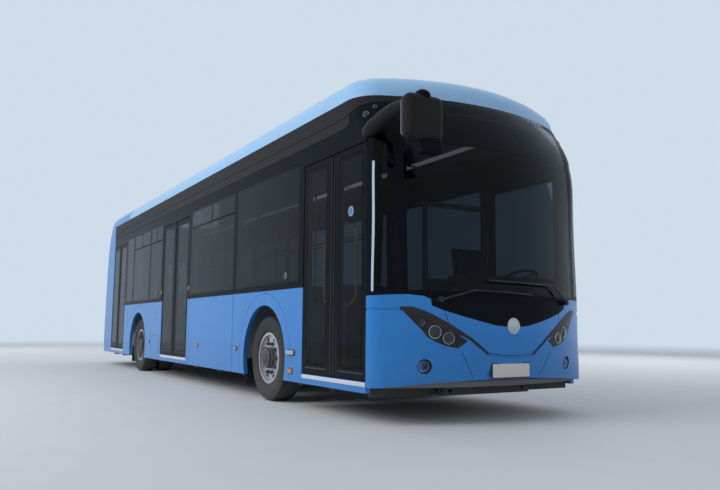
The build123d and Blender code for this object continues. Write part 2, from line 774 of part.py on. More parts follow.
def write_roof():
    base = cove_wire(0, WALL, 0)
    slab = Solid.extrude(Face(base), Vector(0, 0, -ROOF_DEEP))
    steps = range(COVE_STEPS + 1)
    outer = Solid.make_loft([cove_wire(k, 0, 0) for k in steps], True)
    inner = Solid.make_loft([cove_wire(k, COVE_WALL, COVE_WALL if k else 0) for k in steps], True)
    well = block(-HALF + WELL_SIDE, HALF - WELL_SIDE, FRONT_Y + WELL_FRONT, REAR_Y - WELL_REAR,
                 WALL_TOP, ROOF_TOP + 10)
    cove = outer - inner - well
    zones = {}
    for name, first, last in (("front", FRONT_Y - 10, at(FAIRING_SPLIT)),
                              ("sides", at(FAIRING_SPLIT) + SEAM, at(TAIL_CAP_START)),
                              ("tail", at(TAIL_CAP_START) + SEAM, REAR_Y + 10)):
        zones[name] = cove & block(-BEYOND, BEYOND, first, last, 0, ROOF_TOP + 10)
    write("roof", slab)
    write("roof_fairing", zones["front"], zones["sides"])
    write("roof_tail_cap", zones["tail"])


def write_roof_units():
    units = []
    for station, long, wide, high in UNIT_TABLE:
        unit = block(-wide / 2, wide / 2, at(station) - long / 2, at(station) + long / 2, WALL_TOP, WALL_TOP + high)
        unit = chamfer(unit.edges().group_by(Axis.Z)[-1], UNIT_CHAMFER)
        for fan in FAN_STATIONS:
            if abs(fan - station) < long / 2:
                unit = unit - Pos(0, at(fan), WALL_TOP + high) * Cylinder(FAN_R, 2 * FAN_DEEP)
        units.append(unit)
    write("roof_units", *units)


# Wheels and axles

def ring_profile(points):
    """A profile of (x, radius) points turned about the axle line."""
    return revolve(Face(closed_wire([(x, 0, r) for x, r in points])), Axis.X, 360)


def tyre(x_middle):
    half = TYRE_WIDE / 2
    side = [(-half + TYRE_BEAD_IN, RIM_R), (-half, RIM_R + TYRE_SIDE_LOW), (-half, TYRE_R - TYRE_SIDE_HIGH),
            (-half + TYRE_SHOULDER, TYRE_R)]
    points = side + [(-x, r) for x, r in reversed(side)]
    return ring_profile([(x_middle + x, r) for x, r in points])


def rim(first, last, plate_x):
    """Barrel under one tyre or a pair of tyres, with the pierced disc that carries it."""
    half = TYRE_WIDE / 2 - RIM_IN
    inner = RIM_R - RIM_WALL
    barrel = ring_profile([(first - half, RIM_R), (first - half, inner), (last + half, inner), (last + half, RIM_R)])
    low = plate_x - DISC_THICK / 2
    high = plate_x + DISC_THICK / 2
    plate = ring_profile([(low, inner + 5), (low, HUB_R - HUB_CAP), (high, HUB_R - HUB_CAP), (high, inner + 5)])
    for k in range(HAND_HOLES):
        turn = 2 * math.pi * (k + 0.5) / HAND_HOLES
        plate = plate - disc_x(low - 5, high + 5, HAND_HOLE_RING * math.cos(turn), HAND_HOLE_RING * math.sin(turn),
                               HAND_HOLE_R)
    return barrel + plate


def wheel_pieces(station, side, middles, hub_first, hub_last, plate_x):
    """Tyres and rims of one wheel body, moved to its place."""
    tyres = [tyre(x) for x in middles]
    hub = ring_profile([(hub_first, SPINDLE_R + TOUCH), (hub_first, HUB_R), (hub_last, HUB_R), (hub_last, 0),
                        (hub_last - HUB_CAP, 0), (hub_last - HUB_CAP, SPINDLE_R + TOUCH)])
    wheel = rim(min(middles), max(middles), plate_x) + hub
    place = Pos(0, at(station), TYRE_R)
    tyres = [place * t for t in tyres]
    wheel = place * wheel
    if side < 0:
        tyres = [mirrored(t) for t in tyres]
        wheel = mirrored(wheel)
    return tyres, wheel


def write_wheels():
    front_x = WHEEL_OUT - TYRE_WIDE / 2
    front_hub = WHEEL_OUT + FRONT_HUB_PROUD
    rear_hub = WHEEL_OUT - REAR_HUB_SINK
    for side, name in ((1, "left"), (-1, "right")):
        tyres, wheel = wheel_pieces(0, side, (front_x,), front_hub - FRONT_HUB_LONG, front_hub, WHEEL_OUT - DISC_SINK)
        write("tyre_front_" + name, *tyres)
        write("rim_front_" + name, wheel)
        tyres, wheel = wheel_pieces(WHEELBASE, side, (front_x, front_x - TWIN_PITCH), rear_hub - REAR_HUB_LONG,
                                    rear_hub, front_x - TWIN_PITCH / 2)
        write("tyres_rear_" + name, *tyres)
        write("rims_rear_" + name, wheel)


def jack_pad(side, y):
    """Round pad under an axle beam, for a jack or a stand."""
    return rod((side * JACK_PAD_X, y, AXLE_LOW - JACK_PAD_HIGH), (side * JACK_PAD_X, y, AXLE_LOW + 1), JACK_PAD_R)


def write_front_axle():
    z = TYRE_R
    y = at(0)
    upright = KINGPIN_X - UPRIGHT_OUT
    beam = block(-upright, upright, y - BEAM_HALF_WIDE, y + BEAM_HALF_WIDE, AXLE_LOW, RAIL_LOW)
    for side in (-1, 1):
        pin_x = side * KINGPIN_X
        beam = beam + jack_pad(side, y)
        beam = beam + block(side * (upright - UPRIGHT_WIDE), side * upright, y - BEAM_HALF_WIDE, y + BEAM_HALF_WIDE,
                            AXLE_LOW, z + BOSS_FAR)
        for low, high in ((z - BOSS_FAR, z - BOSS_NEAR), (z + BOSS_NEAR, z + BOSS_FAR)):
            beam = beam + rod((pin_x, y, low), (pin_x, y, high), BOSS_R)
            beam = beam + block(side * (upright - 10), pin_x, y - BOSS_R, y + BOSS_R, low, high)
        beam = beam - rod((pin_x, y, z - BOSS_FAR - 1), (pin_x, y, z + BOSS_FAR + 1), KINGPIN_R + TOUCH)
        flange = side * (KINGPIN_X + FLANGE_FROM)
        knuckle = rod((pin_x, y, z - BOSS_FAR), (pin_x, y, z + BOSS_FAR), KINGPIN_R)
        knuckle = knuckle + rod((pin_x, y, z - KNUCKLE_HALF), (pin_x, y, z + KNUCKLE_HALF), KNUCKLE_R)
        knuckle = knuckle + disc_x(pin_x, side * (WHEEL_OUT - SPINDLE_SINK), y, z, SPINDLE_R)
        knuckle = knuckle + disc_x(flange, flange + side * FLANGE_THICK, y, z, FLANGE_R)
        write("knuckle_left" if side > 0 else "knuckle_right", knuckle)
    write("front_axle", beam)


def write_rear_axle():
    z = TYRE_R
    y = at(WHEELBASE)
    beam = block(-REAR_BEAM_HALF, REAR_BEAM_HALF, y - REAR_BEAM_WIDE, y + REAR_BEAM_WIDE, AXLE_LOW, RAIL_LOW)
    for side in (-1, 1):
        end = side * REAR_BEAM_HALF
        beam = beam + jack_pad(side, y)
        beam = beam + block(end - side * REAR_UPRIGHT_THICK, end, y - REAR_UPRIGHT_WIDE, y + REAR_UPRIGHT_WIDE,
                            AXLE_LOW, z + REAR_UPRIGHT_HIGH)
        beam = beam + disc_x(end - side * 10, side * (WHEEL_OUT - REAR_HUB_SINK - HUB_CAP - 5), y, z, SPINDLE_R)
        beam = beam + disc_x(end, side * REAR_DRUM_END, y, z, REAR_DRUM_R)
    write("rear_axle", beam)
    first = at(BULKHEAD_AT) + MOTOR_BEHIND_WALL
    write("drive_motor", block(-MOTOR_X, MOTOR_X, first, first + MOTOR_LONG, FLOOR_Z, MOTOR_TOP))


# Doors

def door_leaf(first, last, hinge_first):
    """One leaf between two places along the side, with its turning post."""
    face_x = -HALF + LEAF_INSET
    back_x = face_x + LEAF_THICK
    low = SILL_TOP + LEAF_GAP
    high = DOOR_TOP - LEAF_GAP
    y0 = at(first)
    y1 = at(last)
    stile0 = LEAF_OUTER_STILE if hinge_first else LEAF_INNER_STILE
    stile1 = LEAF_INNER_STILE if hinge_first else LEAF_OUTER_STILE
    leaf = block(face_x, back_x, y0, y1, low, high)
    glass_box = (y0 + stile0, y1 - stile1, low + LEAF_LOW_RAIL, high - LEAF_HIGH_RAIL)
    leaf = leaf - block(face_x - 1, face_x + DOOR_GLASS, *glass_box)
    inside = (glass_box[0] + REBATE, glass_box[1] - REBATE, glass_box[2] + REBATE, glass_box[3] - REBATE)
    leaf = leaf - block(face_x - 1, back_x + 1, *inside)
    pane = block(face_x, face_x + DOOR_GLASS, glass_box[0] + PANE_GAP, glass_box[1] - PANE_GAP,
                 glass_box[2] + PANE_GAP, glass_box[3] - PANE_GAP)
    post_x = back_x + PIVOT_IN
    post_y = y0 + PIVOT_SIDE if hinge_first else y1 - PIVOT_SIDE
    post = rod((post_x, post_y, FLOOR_Z + TOUCH), (post_x, post_y, GEAR_BOTTOM - TOUCH), POST_R)
    for z in (low + POST_BRACKET_END, (low + high) / 2, high - POST_BRACKET_END):
        post = post + block(back_x, post_x, post_y - POST_R, post_y + POST_R, z - POST_BRACKET_HALF,
                            z + POST_BRACKET_HALF)
    return leaf + post, pane


def write_doors():
    gear = []
    for name, first, last in DOOR_TABLE:
        middle = (first + last) / 2
        for part_name, a, b, hinge_first in (
                ("a", first + LEAF_GAP, middle - LEAF_MIDDLE_GAP / 2, True),
                ("b", middle + LEAF_MIDDLE_GAP / 2, last - LEAF_GAP, False)):
            leaf, pane = door_leaf(a, b, hinge_first)
            write("door_" + name + "_leaf_" + part_name, leaf)
            write("door_" + name + "_glass_" + part_name, pane)
        gear.append(block(-INSIDE, -INSIDE + GEAR_DEEP, at(first + GEAR_END), at(last - GEAR_END),
                          GEAR_BOTTOM, GEAR_TOP))
    write("door_gear", *gear)


# Cabin

def seat(x, station, count):
    """Seat shells side by side on one pedestal, looking forward."""
    y = at(station)
    base = FLOOR_Z + SEAT_HIGH
    t = SEAT_SHELL
    crook = base - SEAT_DROP
    top = base + SEAT_BACK
    outline = [(y - SEAT_DEEP, base), (y, crook), (y + SEAT_LEAN, top), (y + SEAT_LEAN + t, top),
               (y + t, crook - t), (y - SEAT_DEEP, base - t)]
    wide = SEAT_WIDE * count + SEAT_GAP * (count - 1)
    shell = along_x(outline, x - wide / 2, x + wide / 2)
    if count == 2:
        shell = shell - block(x - SEAT_GAP / 2, x + SEAT_GAP / 2, y - SEAT_DEEP - 1, y + 2 * SEAT_LEAN, base + 60, top + 1)
    leg = block(x - SEAT_LEG_HALF, x + SEAT_LEG_HALF, y - SEAT_LEG_FROM, y - SEAT_LEG_TO, FLOOR_Z, base - t - 10)
    leg = leg + block(x - wide / 2 + 60, x + wide / 2 - 60, y - SEAT_LEG_FROM, y - SEAT_LEG_TO,
                      crook - t, base - SEAT_DROP / 2)
    return shell + leg


def grab_run(x, stations):
    """Poles of one side, joined by one rail near the ceiling."""
    run = rod((x, at(stations[0]), GRAB_Z), (x, at(stations[-1]), GRAB_Z), GRAB_R)
    for station in stations:
        run = run + rod((x, at(station), FLOOR_Z), (x, at(station), WALL_TOP - ROOF_DEEP), POLE_R)
    return run


def steering_wheel():
    """Tilted wheel on its column."""
    tilt = Plane((DRIVER_X, at(WHEEL_AT), WHEEL_Z), z_dir=(0, math.sin(math.radians(WHEEL_TILT)),
                                                           math.cos(math.radians(WHEEL_TILT))))
    ring = tilt * Torus(WHEEL_RING_R, WHEEL_TUBE_R)
    ring = ring + tilt * Cylinder(2 * COLUMN_R, COLUMN_R)
    for turn in (0, 120, 240):
        ring = ring + tilt * Rot(0, 0, turn + 90) * Pos(WHEEL_RING_R / 2, 0, 0) * Box(WHEEL_RING_R, COLUMN_R, WHEEL_TUBE_R)
    station, foot_z = COLUMN_FOOT
    return ring + rod((DRIVER_X, at(station), foot_z), (DRIVER_X, at(WHEEL_AT), WHEEL_Z), COLUMN_R)


def write_cabin(nose_inner):
    write("seats", *[seat(x, station, count) for x, station, count in SEAT_TABLE])
    first = at(PLINTH_FIRST)
    last = at(PLINTH_LAST)
    w = PLINTH_WALL
    plinth = block(PLINTH_X, INSIDE, first, last, FLOOR_Z, PLINTH_TOP)
    hollow = block(PLINTH_X + w, INSIDE - w, first + w, last - w, FLOOR_Z - 1, PLINTH_TOP - w)
    box_zone = block(STEER_BOX_X - BOX_WALL, HALF, at(0) - STEER_BOX_HALF - BOX_WALL, last + w, 0, BOX_TOP + BOX_WALL)
    y = at(PARTITION_AT)
    panel = block(PLINTH_X, INSIDE, y - PARTITION_HALF, y + PARTITION_HALF, PLINTH_TOP, PARTITION_TOP)
    panel = panel - block(PLINTH_X + PARTITION_FRAME, INSIDE - PARTITION_FRAME, y - 2 * PARTITION_HALF,
                          y + 2 * PARTITION_HALF, PARTITION_GLASS_LOW, PARTITION_TOP - PARTITION_FRAME)
    write("driver_cab", plinth - hollow - box_zone + panel)
    outline = [(at(station), z) for station, z in DASH_OUTLINE]
    under = [(at(station), z) for station, z in DASH_HOLLOW]
    dash = nose_inner & along_x(outline, *DASH_X)
    dash = dash - along_x(under, DASH_X[0] + DASH_WALL, DASH_X[1] - DASH_WALL)
    write("dashboard", dash + steering_wheel())
    x = DRIVER_X
    y = at(DRIVER_AT)
    z = PLINTH_TOP + CHAIR_BASE_HIGH
    top = z + CHAIR_PAD_HIGH
    back_top = top + CHAIR_BACK_HIGH
    chair = block(x - CHAIR_BASE_HALF, x + CHAIR_BASE_HALF, y - 200, y + 180, PLINTH_TOP, z)
    chair = chair + block(x - CHAIR_PAD_HALF, x + CHAIR_PAD_HALF, y - 260, y + 240, z, top)
    chair = chair + along_x([(y + 160, top), (y + 280, top), (y + 400, back_top), (y + 290, back_top)],
                            x - CHAIR_BACK_HALF, x + CHAIR_BACK_HALF)
    write("driver_seat", chair)
    write("handrails", grab_run(-POLE_X, RIGHT_POLES), grab_run(POLE_X, LEFT_POLES))


# Outside fittings

def write_mirrors(nose_outer):
    x1 = HALF + MIRROR_BESIDE
    y0 = FRONT_Y - MIRROR_AHEAD
    head = block(-x1, MIRROR_WIDE - x1, y0, y0 + MIRROR_DEEP, MIRROR_LOW, MIRROR_TOP)
    head = fillet(head.edges(), MIRROR_ROUND)
    root_station, root_z = MIRROR_ROOT
    path = [(-x1 + x, y0 + back, z, r) for x, back, z, r in MIRROR_ARM]
    path.append((MIRROR_ROOT_R - x1, at(root_station), root_z, MIRROR_ROOT_R))
    arm = head
    for (xa, ya, za, ra), (xb, yb, zb, rb) in zip(path, path[1:]):
        arm = arm + rod((xa, ya, za), (xb, yb, zb), (ra + rb) / 2)
        arm = arm + Pos(xb, yb, zb) * Sphere(rb)
    side_zone = block(-INSIDE, INSIDE, at(FRONT_JAMB) - 400, at(FRONT_JAMB), SKIRT_Z, WALL_TOP)
    arm = arm - nose_outer - side_zone
    pod = block(HALF - 1, x1, at(POD_FIRST), at(POD_FIRST + POD_LONG), POD_LOW, POD_LOW + POD_HIGH)
    pod = chamfer(pod.edges().group_by(Axis.X)[-1], POD_CHAMFER)
    pod = pod - block(-HALF, HALF, at(POD_FIRST) - 1, at(POD_FIRST + POD_LONG) + 1, POD_LOW - 1, POD_LOW + POD_HIGH + 1)
    write("mirrors", *[s for s in arm.solids() if s.volume > MIRROR_DEEP ** 3], pod)


def write_wipers(nose_outer):
    wipers = []
    for pivot, arm_end, first, middle, last, off in WIPERS:
        points = [(x, nose_y(x, z) - off, z) for x, z in (pivot, arm_end, first, middle, last)]
        wiper = rod(points[0], (points[0][0], points[0][1] + off + WALL, points[0][2]), WIPER_BOSS_R)
        wiper = wiper + rod(points[0], points[1], WIPER_ARM_R)
        wiper = wiper + Pos(points[1]) * Sphere(WIPER_ARM_R + 3)
        wiper = wiper + rod(points[2], points[3], WIPER_BLADE_R) + rod(points[3], points[4], WIPER_BLADE_R)
        wipers.append(wiper - nose_outer)
    write("wipers", *wipers)


def write_flaps():
    flaps = []
    for side in (-1, 1):
        for inner_x, end in ((FLAP_X, at(0) + STEER_BOX_HALF), (FLAP_INNER_REAR, at(WHEELBASE) + REAR_BOX_HALF)):
            flaps.append(block(side * inner_x, side * (WHEEL_OUT - 5), end - FLAP_THICK, end, FLAP_LOW, FLAP_HIGH))
    write("mud_flaps", *flaps)


os.makedirs("parts", exist_ok=True)
nose_outer, nose_inner = write_nose()
tail_inner, rear_pane = write_tail()
panes = write_sides()
write("window_glass", rear_pane, *panes)
write_floor(nose_inner, tail_inner)
write_underframe()
write_roof()
write_roof_units()
write_wheels()
write_front_axle()
write_rear_axle()
write_doors()
write_cabin(nose_inner)
write_mirrors(nose_outer)
write_wipers(nose_outer)
write_flaps()
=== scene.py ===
import math
import bmesh
import bpy
from mathutils import Matrix, Vector
from mathutils.bvhtree import BVHTree


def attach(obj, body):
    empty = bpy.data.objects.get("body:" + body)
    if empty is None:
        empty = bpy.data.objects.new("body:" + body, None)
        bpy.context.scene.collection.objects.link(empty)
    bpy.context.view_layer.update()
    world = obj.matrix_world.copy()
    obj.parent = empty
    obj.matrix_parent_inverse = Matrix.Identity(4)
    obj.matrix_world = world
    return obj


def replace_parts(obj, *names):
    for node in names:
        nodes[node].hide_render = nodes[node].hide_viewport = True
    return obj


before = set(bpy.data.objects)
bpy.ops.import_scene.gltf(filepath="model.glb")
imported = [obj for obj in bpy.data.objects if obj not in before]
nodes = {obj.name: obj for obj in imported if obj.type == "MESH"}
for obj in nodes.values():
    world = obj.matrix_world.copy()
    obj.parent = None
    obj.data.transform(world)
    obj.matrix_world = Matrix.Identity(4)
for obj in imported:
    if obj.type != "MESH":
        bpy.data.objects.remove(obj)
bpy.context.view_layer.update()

# City bus, dressed on its CAD frame. Metres, the front looks to -Y, the door side is -X.
frontAxleY = -3.145
rearAxleY = 2.855
axleZ = 0.48
wallX = 1.275
outside = 9  # from here lines are sent at the body to find its skin
bothSides = (("Left", 1), ("Right", -1))
print("frame loaded", len(nodes))


def at(station):
    return frontAxleY + station  # metres behind the front axle


def addObject(name, data):
    thing = bpy.data.objects.new(name, data)
    bpy.context.scene.collection.objects.link(thing)
    return thing


# ---- camera and light ----
cameraSettings = {"place": (-4.471, -10.686, 0.839), "yaw": 30.707, "pitch": 6.668, "roll": 0.434, "lens": 35.09,
                  "sensor": 36, "reach": 300}


def makeCamera(s):
    # yaw turns it from straight ahead (+Y) to the right, pitch up, roll to the left
    data = bpy.data.cameras.new("camera")
    data.lens = s["lens"]
    data.sensor_width = s["sensor"]
    data.clip_end = s["reach"]
    camera = addObject("camera", data)
    turns = ((-s["yaw"], "Z"), (90 + s["pitch"], "X"), (s["roll"], "Z"))
    yaw, pitch, roll = (Matrix.Rotation(math.radians(turn), 4, axis) for turn, axis in turns)
    camera.matrix_world = Matrix.Translation(s["place"]) @ yaw @ pitch @ roll
    bpy.context.scene.camera = camera


makeCamera(cameraSettings)
bpy.context.scene.view_settings.view_transform = "Standard"

lightTable = (
    # name, place, aims at, size, power
    ("doorSideKey", (-13, -2, 9.5), (-1, -0.5, 1.3), 9, 1450),
    ("frontFill", (3, -16, 6), (0, -5, 1.4), 7, 90),
    ("farSideFill", (13, 2, 8), (1, 0, 1.5), 9, 700),
    ("topSoft", (0, 0, 13), (0, 0, 0), 12, 200),
    ("tailFill", (-4, 17, 8), (0, 5, 1.5), 7, 600),
)


def makeLights():
    for name, place, aim, size, power in lightTable:
        data = bpy.data.lights.new(name, "AREA")
        data.size = size
        data.energy = power
        lamp = addObject(name, data)
        lamp.location = place
        lamp.rotation_euler = (Vector(aim) - Vector(place)).to_track_quat("-Z", "Y").to_euler()
        lamp.visible_glossy = False


makeLights()


# ---- shader nodes and shared effects ----
def feed(tree, node, entries):
    # each input gets a number, a colour or the output that feeds it
    for label, value in entries.items():
        if isinstance(value, bpy.types.NodeSocket):
            tree.links.new(value, node.inputs[label])
        else:
            node.inputs[label].default_value = (*value, 1) if isinstance(value, tuple) else value


def addNode(tree, kind, entries=None, **settings):
    node = tree.nodes.new("ShaderNode" + kind)
    for label, value in settings.items():
        setattr(node, label, value)
    feed(tree, node, entries or {})
    return node


def addMath(tree, operation, a, b, clamp=False):
    return addNode(tree, "Math", {0: a, 1: b}, operation=operation, use_clamp=clamp).outputs[0]


def addNoise(tree, vector, scale, detail):
    return addNode(tree, "TexNoise", {"Vector": vector, "Scale": scale, "Detail": detail}).outputs["Fac"]


def addMix(tree, factor, a, b):
    # the colours of this node go in at 6 and 7 and come out at 2
    return addNode(tree, "Mix", {0: factor, 6: a, 7: b}, data_type="RGBA").outputs[2]


def newGroup(name, entries, results):
    group = bpy.data.node_groups.new(name, "ShaderNodeTree")
    for label, value in entries.items():
        kind, start = ("Color", (*value, 1)) if isinstance(value, tuple) else ("Float", value)
        socket = group.interface.new_socket(label, in_out="INPUT", socket_type="NodeSocket" + kind)
        socket.default_value = start
    for label, kind in results.items():
        group.interface.new_socket(label, in_out="OUTPUT", socket_type="NodeSocket" + kind)
    return group, group.nodes.new("NodeGroupInput").outputs, group.nodes.new("NodeGroupOutput")


def makeRoadFilm():
    # two tones of a colour, with dust that thins out upwards
    group, given, end = newGroup("roadFilm", {
        "Color": (0.5, 0.5, 0.5), "Shade": (0.4, 0.4, 0.4), "Dust Color": (0.3, 0.29, 0.27), "Dust": 0.25,
        "Dust Height": 0.9, "Tone Scale": 2, "Roughness": 0.4, "Spread": 0.1},
        {"Color": "Color", "Roughness": "Float"})
    place = addNode(group, "TexCoord").outputs["Object"]
    height = addNode(group, "SeparateXYZ", {0: place}).outputs["Z"]
    low = addMath(group, "SUBTRACT", 1, addMath(group, "DIVIDE", height, given["Dust Height"]), True)
    cloud = addNoise(group, place, 6, 5)
    speck = addNoise(group, place, 90, 2)
    film = addMath(group, "MULTIPLY", low, addMath(group, "ADD", cloud, addMath(group, "MULTIPLY", speck, 0.5)))
    film = addMath(group, "MULTIPLY", film, given["Dust"], True)
    tone = addNoise(group, place, given["Tone Scale"], 4)
    tint = addMix(group, tone, given["Color"], given["Shade"])
    rough = addMath(group, "MULTIPLY", addMath(group, "SUBTRACT", cloud, 0.5), given["Spread"])
    rough = addMath(group, "ADD", rough, given["Roughness"])
    rough = addMath(group, "ADD", rough, addMath(group, "MULTIPLY", film, 0.5), True)
    feed(group, end, {"Color": addMix(group, film, tint, given["Dust Color"]), "Roughness": rough})
    return group


def makeGrain():
    group, given, end = newGroup("grain", {"Scale": 400, "Depth": 0.1, "Distance": 0.001}, {"Normal": "Vector"})
    fine = addNoise(group, addNode(group, "TexCoord").outputs["Object"], given["Scale"], 2)
    bump = addNode(group, "Bump", {"Height": fine, "Strength": given["Depth"], "Distance": given["Distance"]})
    feed(group, end, {"Normal": bump.outputs["Normal"]})
    return group


roadFilm = makeRoadFilm()
grain = makeGrain()

# ---- materials ----
finishTable = {
    # colour, shade, roughness, spread, dust, dust height, grain scale, grain depth, metallic, coat, specular
    "bodyBlue": ((0.02, 0.222, 0.61), (0.016, 0.192, 0.555), 0.32, 0.06, 0.1, 0.75, 900, 0.015, 0.25, 0.3, 0.35),
    "roofBlue": ((0.3, 0.53, 0.79), (0.26, 0.48, 0.75), 0.36, 0.08, 0.08, 9, 700, 0.015, 0.1, 0.2, 0.4),
    "gapBlack": ((0.006, 0.008, 0.012), (0.008, 0.01, 0.015), 0.24, 0.06, 0.04, 1.2, 800, 0.012, 0, 0, 0.02),
    "bandBlack": ((0.014, 0.013, 0.015), (0.02, 0.018, 0.02), 0.42, 0.08, 0.05, 4, 700, 0.03, 0, 0, 0.06),
    "satinBlack": ((0.013, 0.013, 0.015), (0.02, 0.019, 0.021), 0.36, 0.1, 0.05, 4, 700, 0.05, 0, 0, 0.25),
    "chassisBlack": ((0.012, 0.012, 0.013), (0.024, 0.023, 0.021), 0.6, 0.2, 0.25, 1.3, 220, 0.25, 0.1, 0, 0.3),
    "wheelPaint": ((0.56, 0.58, 0.61), (0.44, 0.455, 0.48), 0.3, 0.14, 0.16, 1.1, 500, 0.04, 0.8, 0.1, 0.5),
    "tyreRubber": ((0.022, 0.022, 0.026), (0.031, 0.03, 0.032), 0.72, 0.16, 0.16, 1, 420, 0.22, 0, 0, 0.4),
    "sealRubber": ((0.008, 0.008, 0.009), (0.013, 0.012, 0.012), 0.62, 0.12, 0.1, 2.5, 600, 0.1, 0, 0, 0.1),
    "floorCover": ((0.15, 0.155, 0.165), (0.11, 0.115, 0.125), 0.62, 0.16, 0.15, 2, 1200, 0.18, 0, 0, 0.5),
    "cabinPanel": ((0.3, 0.31, 0.325), (0.26, 0.27, 0.285), 0.5, 0.12, 0.05, 2, 650, 0.1, 0, 0, 0.5),
    "ceilingPanel": ((0.48, 0.49, 0.505), (0.43, 0.44, 0.455), 0.48, 0.1, 0.02, 3, 650, 0.06, 0, 0, 0.5),
    "dashPlastic": ((0.03, 0.031, 0.034), (0.044, 0.045, 0.048), 0.58, 0.12, 0.05, 2, 480, 0.3, 0, 0, 0.4),
    "seatShell": ((0.025, 0.095, 0.26), (0.02, 0.075, 0.215), 0.45, 0.12, 0.05, 2, 520, 0.16, 0, 0, 0.5),
    "railYellow": ((0.78, 0.45, 0.015), (0.7, 0.39, 0.012), 0.34, 0.1, 0.05, 2, 500, 0.05, 0, 0.3, 0.5),
    "castSteel": ((0.11, 0.112, 0.118), (0.07, 0.066, 0.062), 0.5, 0.2, 0.4, 1.3, 260, 0.25, 0.7, 0, 0.5),
    "brightSteel": ((0.48, 0.5, 0.52), (0.4, 0.415, 0.43), 0.22, 0.12, 0.08, 1.2, 600, 0.03, 0.95, 0, 0.5),
    "unitWhite": ((0.6, 0.63, 0.66), (0.52, 0.55, 0.59), 0.42, 0.12, 0.2, 12, 500, 0.06, 0, 0.2, 0.5),
    "plateWhite": ((0.7, 0.69, 0.67), (0.64, 0.63, 0.61), 0.42, 0.1, 0.14, 0.9, 700, 0.03, 0, 0, 0.4),
    "sillWhite": ((0.64, 0.68, 0.74), (0.56, 0.6, 0.67), 0.4, 0.1, 0.2, 0.6, 700, 0.03, 0, 0.2, 0.5),
    "lensRed": ((0.42, 0.012, 0.01), (0.33, 0.009, 0.008), 0.12, 0.04, 0.1, 1.5, 300, 0.05, 0, 0.8, 0.5),
    "lensAmber": ((0.44, 0.135, 0.022), (0.36, 0.105, 0.016), 0.14, 0.04, 0.1, 1.5, 300, 0.05, 0, 0.8, 0.5),
    "knobRed": ((0.13, 0.016, 0.012), (0.1, 0.012, 0.01), 0.32, 0.08, 0.1, 2.5, 500, 0.05, 0, 0.2, 0.5),
    "signBlue": ((0.03, 0.17, 0.48), (0.026, 0.15, 0.43), 0.4, 0.06, 0.05, 3, 700, 0.02, 0, 0, 0.5),
    "screenDark": ((0.006, 0.007, 0.009), (0.01, 0.011, 0.014), 0.28, 0.08, 0.02, 3, 700, 0.02, 0, 0, 0.3),
    "mirrorFace": ((0.72, 0.74, 0.76), (0.7, 0.72, 0.74), 0.04, 0.02, 0.03, 4, 300, 0.01, 1, 0, 0.5),
    "clearLens": ((0.42, 0.44, 0.46), (0.34, 0.36, 0.38), 0.16, 0.05, 0.1, 1.5, 300, 0.05, 0.4, 0.8, 0.5),
    "seatCloth": ((0.03, 0.055, 0.11), (0.055, 0.085, 0.15), 0.86, 0.08, 0.04, 3, 1500, 0.6, 0, 0, 0.3),
}
glassTable = {
    # colour, roughness, dust, dust height, index of refraction
    "windowGlass": ((0.075, 0.095, 0.115), 0.02, 0.02, 2.2, 1.16),
    "doorGlass": ((0.26, 0.31, 0.36), 0.02, 0.02, 2.2, 1.13),
    "screenGlass": ((0.19, 0.225, 0.26), 0.015, 0.01, 2.2, 1.18),
    "lampGlass": ((0.92, 0.94, 0.96), 0.02, 0.02, 1.5, 1.45),
}
glowTable = {"lightStrip": ((0.42, 0.54, 0.64), 0.15), "cabinLight": ((0.8, 0.88, 0.95), 0.3)}  # colour, strength
coatRoughness = 0.06


def newMaterial(name, film, entries):
    # the road film with these values gives the shader its colour and roughness
    mat = bpy.data.materials.new(name)
    mat.use_nodes = True
    tree = mat.node_tree
    skin = addNode(tree, "Group", film, node_tree=roadFilm).outputs
    shader = tree.nodes["Principled BSDF"]
    feed(tree, shader, {"Base Color": skin["Color"], "Roughness": skin["Roughness"], **entries})
    return mat, tree, skin, shader


def makeFinish(name, row):
    colour, shade, rough, spread, dust, dustHeight, grainScale, grainDepth, metallic, coat, specular = row
    film = {"Color": colour, "Shade": shade, "Dust": dust, "Dust Height": dustHeight, "Roughness": rough,
            "Spread": spread}
    mat, tree, skin, shader = newMaterial(name, film, {
        "Metallic": metallic, "Coat Weight": coat, "Coat Roughness": coatRoughness, "Specular IOR Level": specular})
    relief = addNode(tree, "Group", {"Scale": grainScale, "Depth": grainDepth}, node_tree=grain)
    feed(tree, shader, {"Normal": relief.outputs["Normal"]})
    return mat


def makeGlass(name, row):
    colour, rough, dust, dustHeight, bend = row
    film = {"Color": colour, "Shade": tuple(0.92 * c for c in colour), "Dust": dust, "Dust Height": dustHeight,
            "Roughness": rough, "Spread": 0.02}
    return newMaterial(name, film, {"Transmission Weight": 1, "IOR": bend})[0]


def makeGlow(name, row):
    colour, strength = row
    film = {"Color": colour, "Shade": tuple(0.9 * c for c in colour), "Dust": 0, "Roughness": 0.4}
    mat, tree, skin, shader = newMaterial(name, film, {"Emission Strength": strength})
    feed(tree, shader, {"Emission Color": skin["Color"]})
    return mat


finishes = {}
for make, table in ((makeFinish, finishTable), (makeGlass, glassTable), (makeGlow, glowTable)):
    finishes.update({name: make(name, row) for name, row in table.items()})

# ---- backdrop and floor ----
studio = {"backdrop": (0.62, 0.72, 0.82), "soft": (0.88, 0.93, 1), "softPower": 0.42,
          "floor": {"Color": (0.62, 0.64, 0.66), "Shade": (0.58, 0.6, 0.62), "Dust": 0, "Roughness": 0.7},
          "floorHalf": 70, "fadeFrom": 9, "fadeTo": 34}


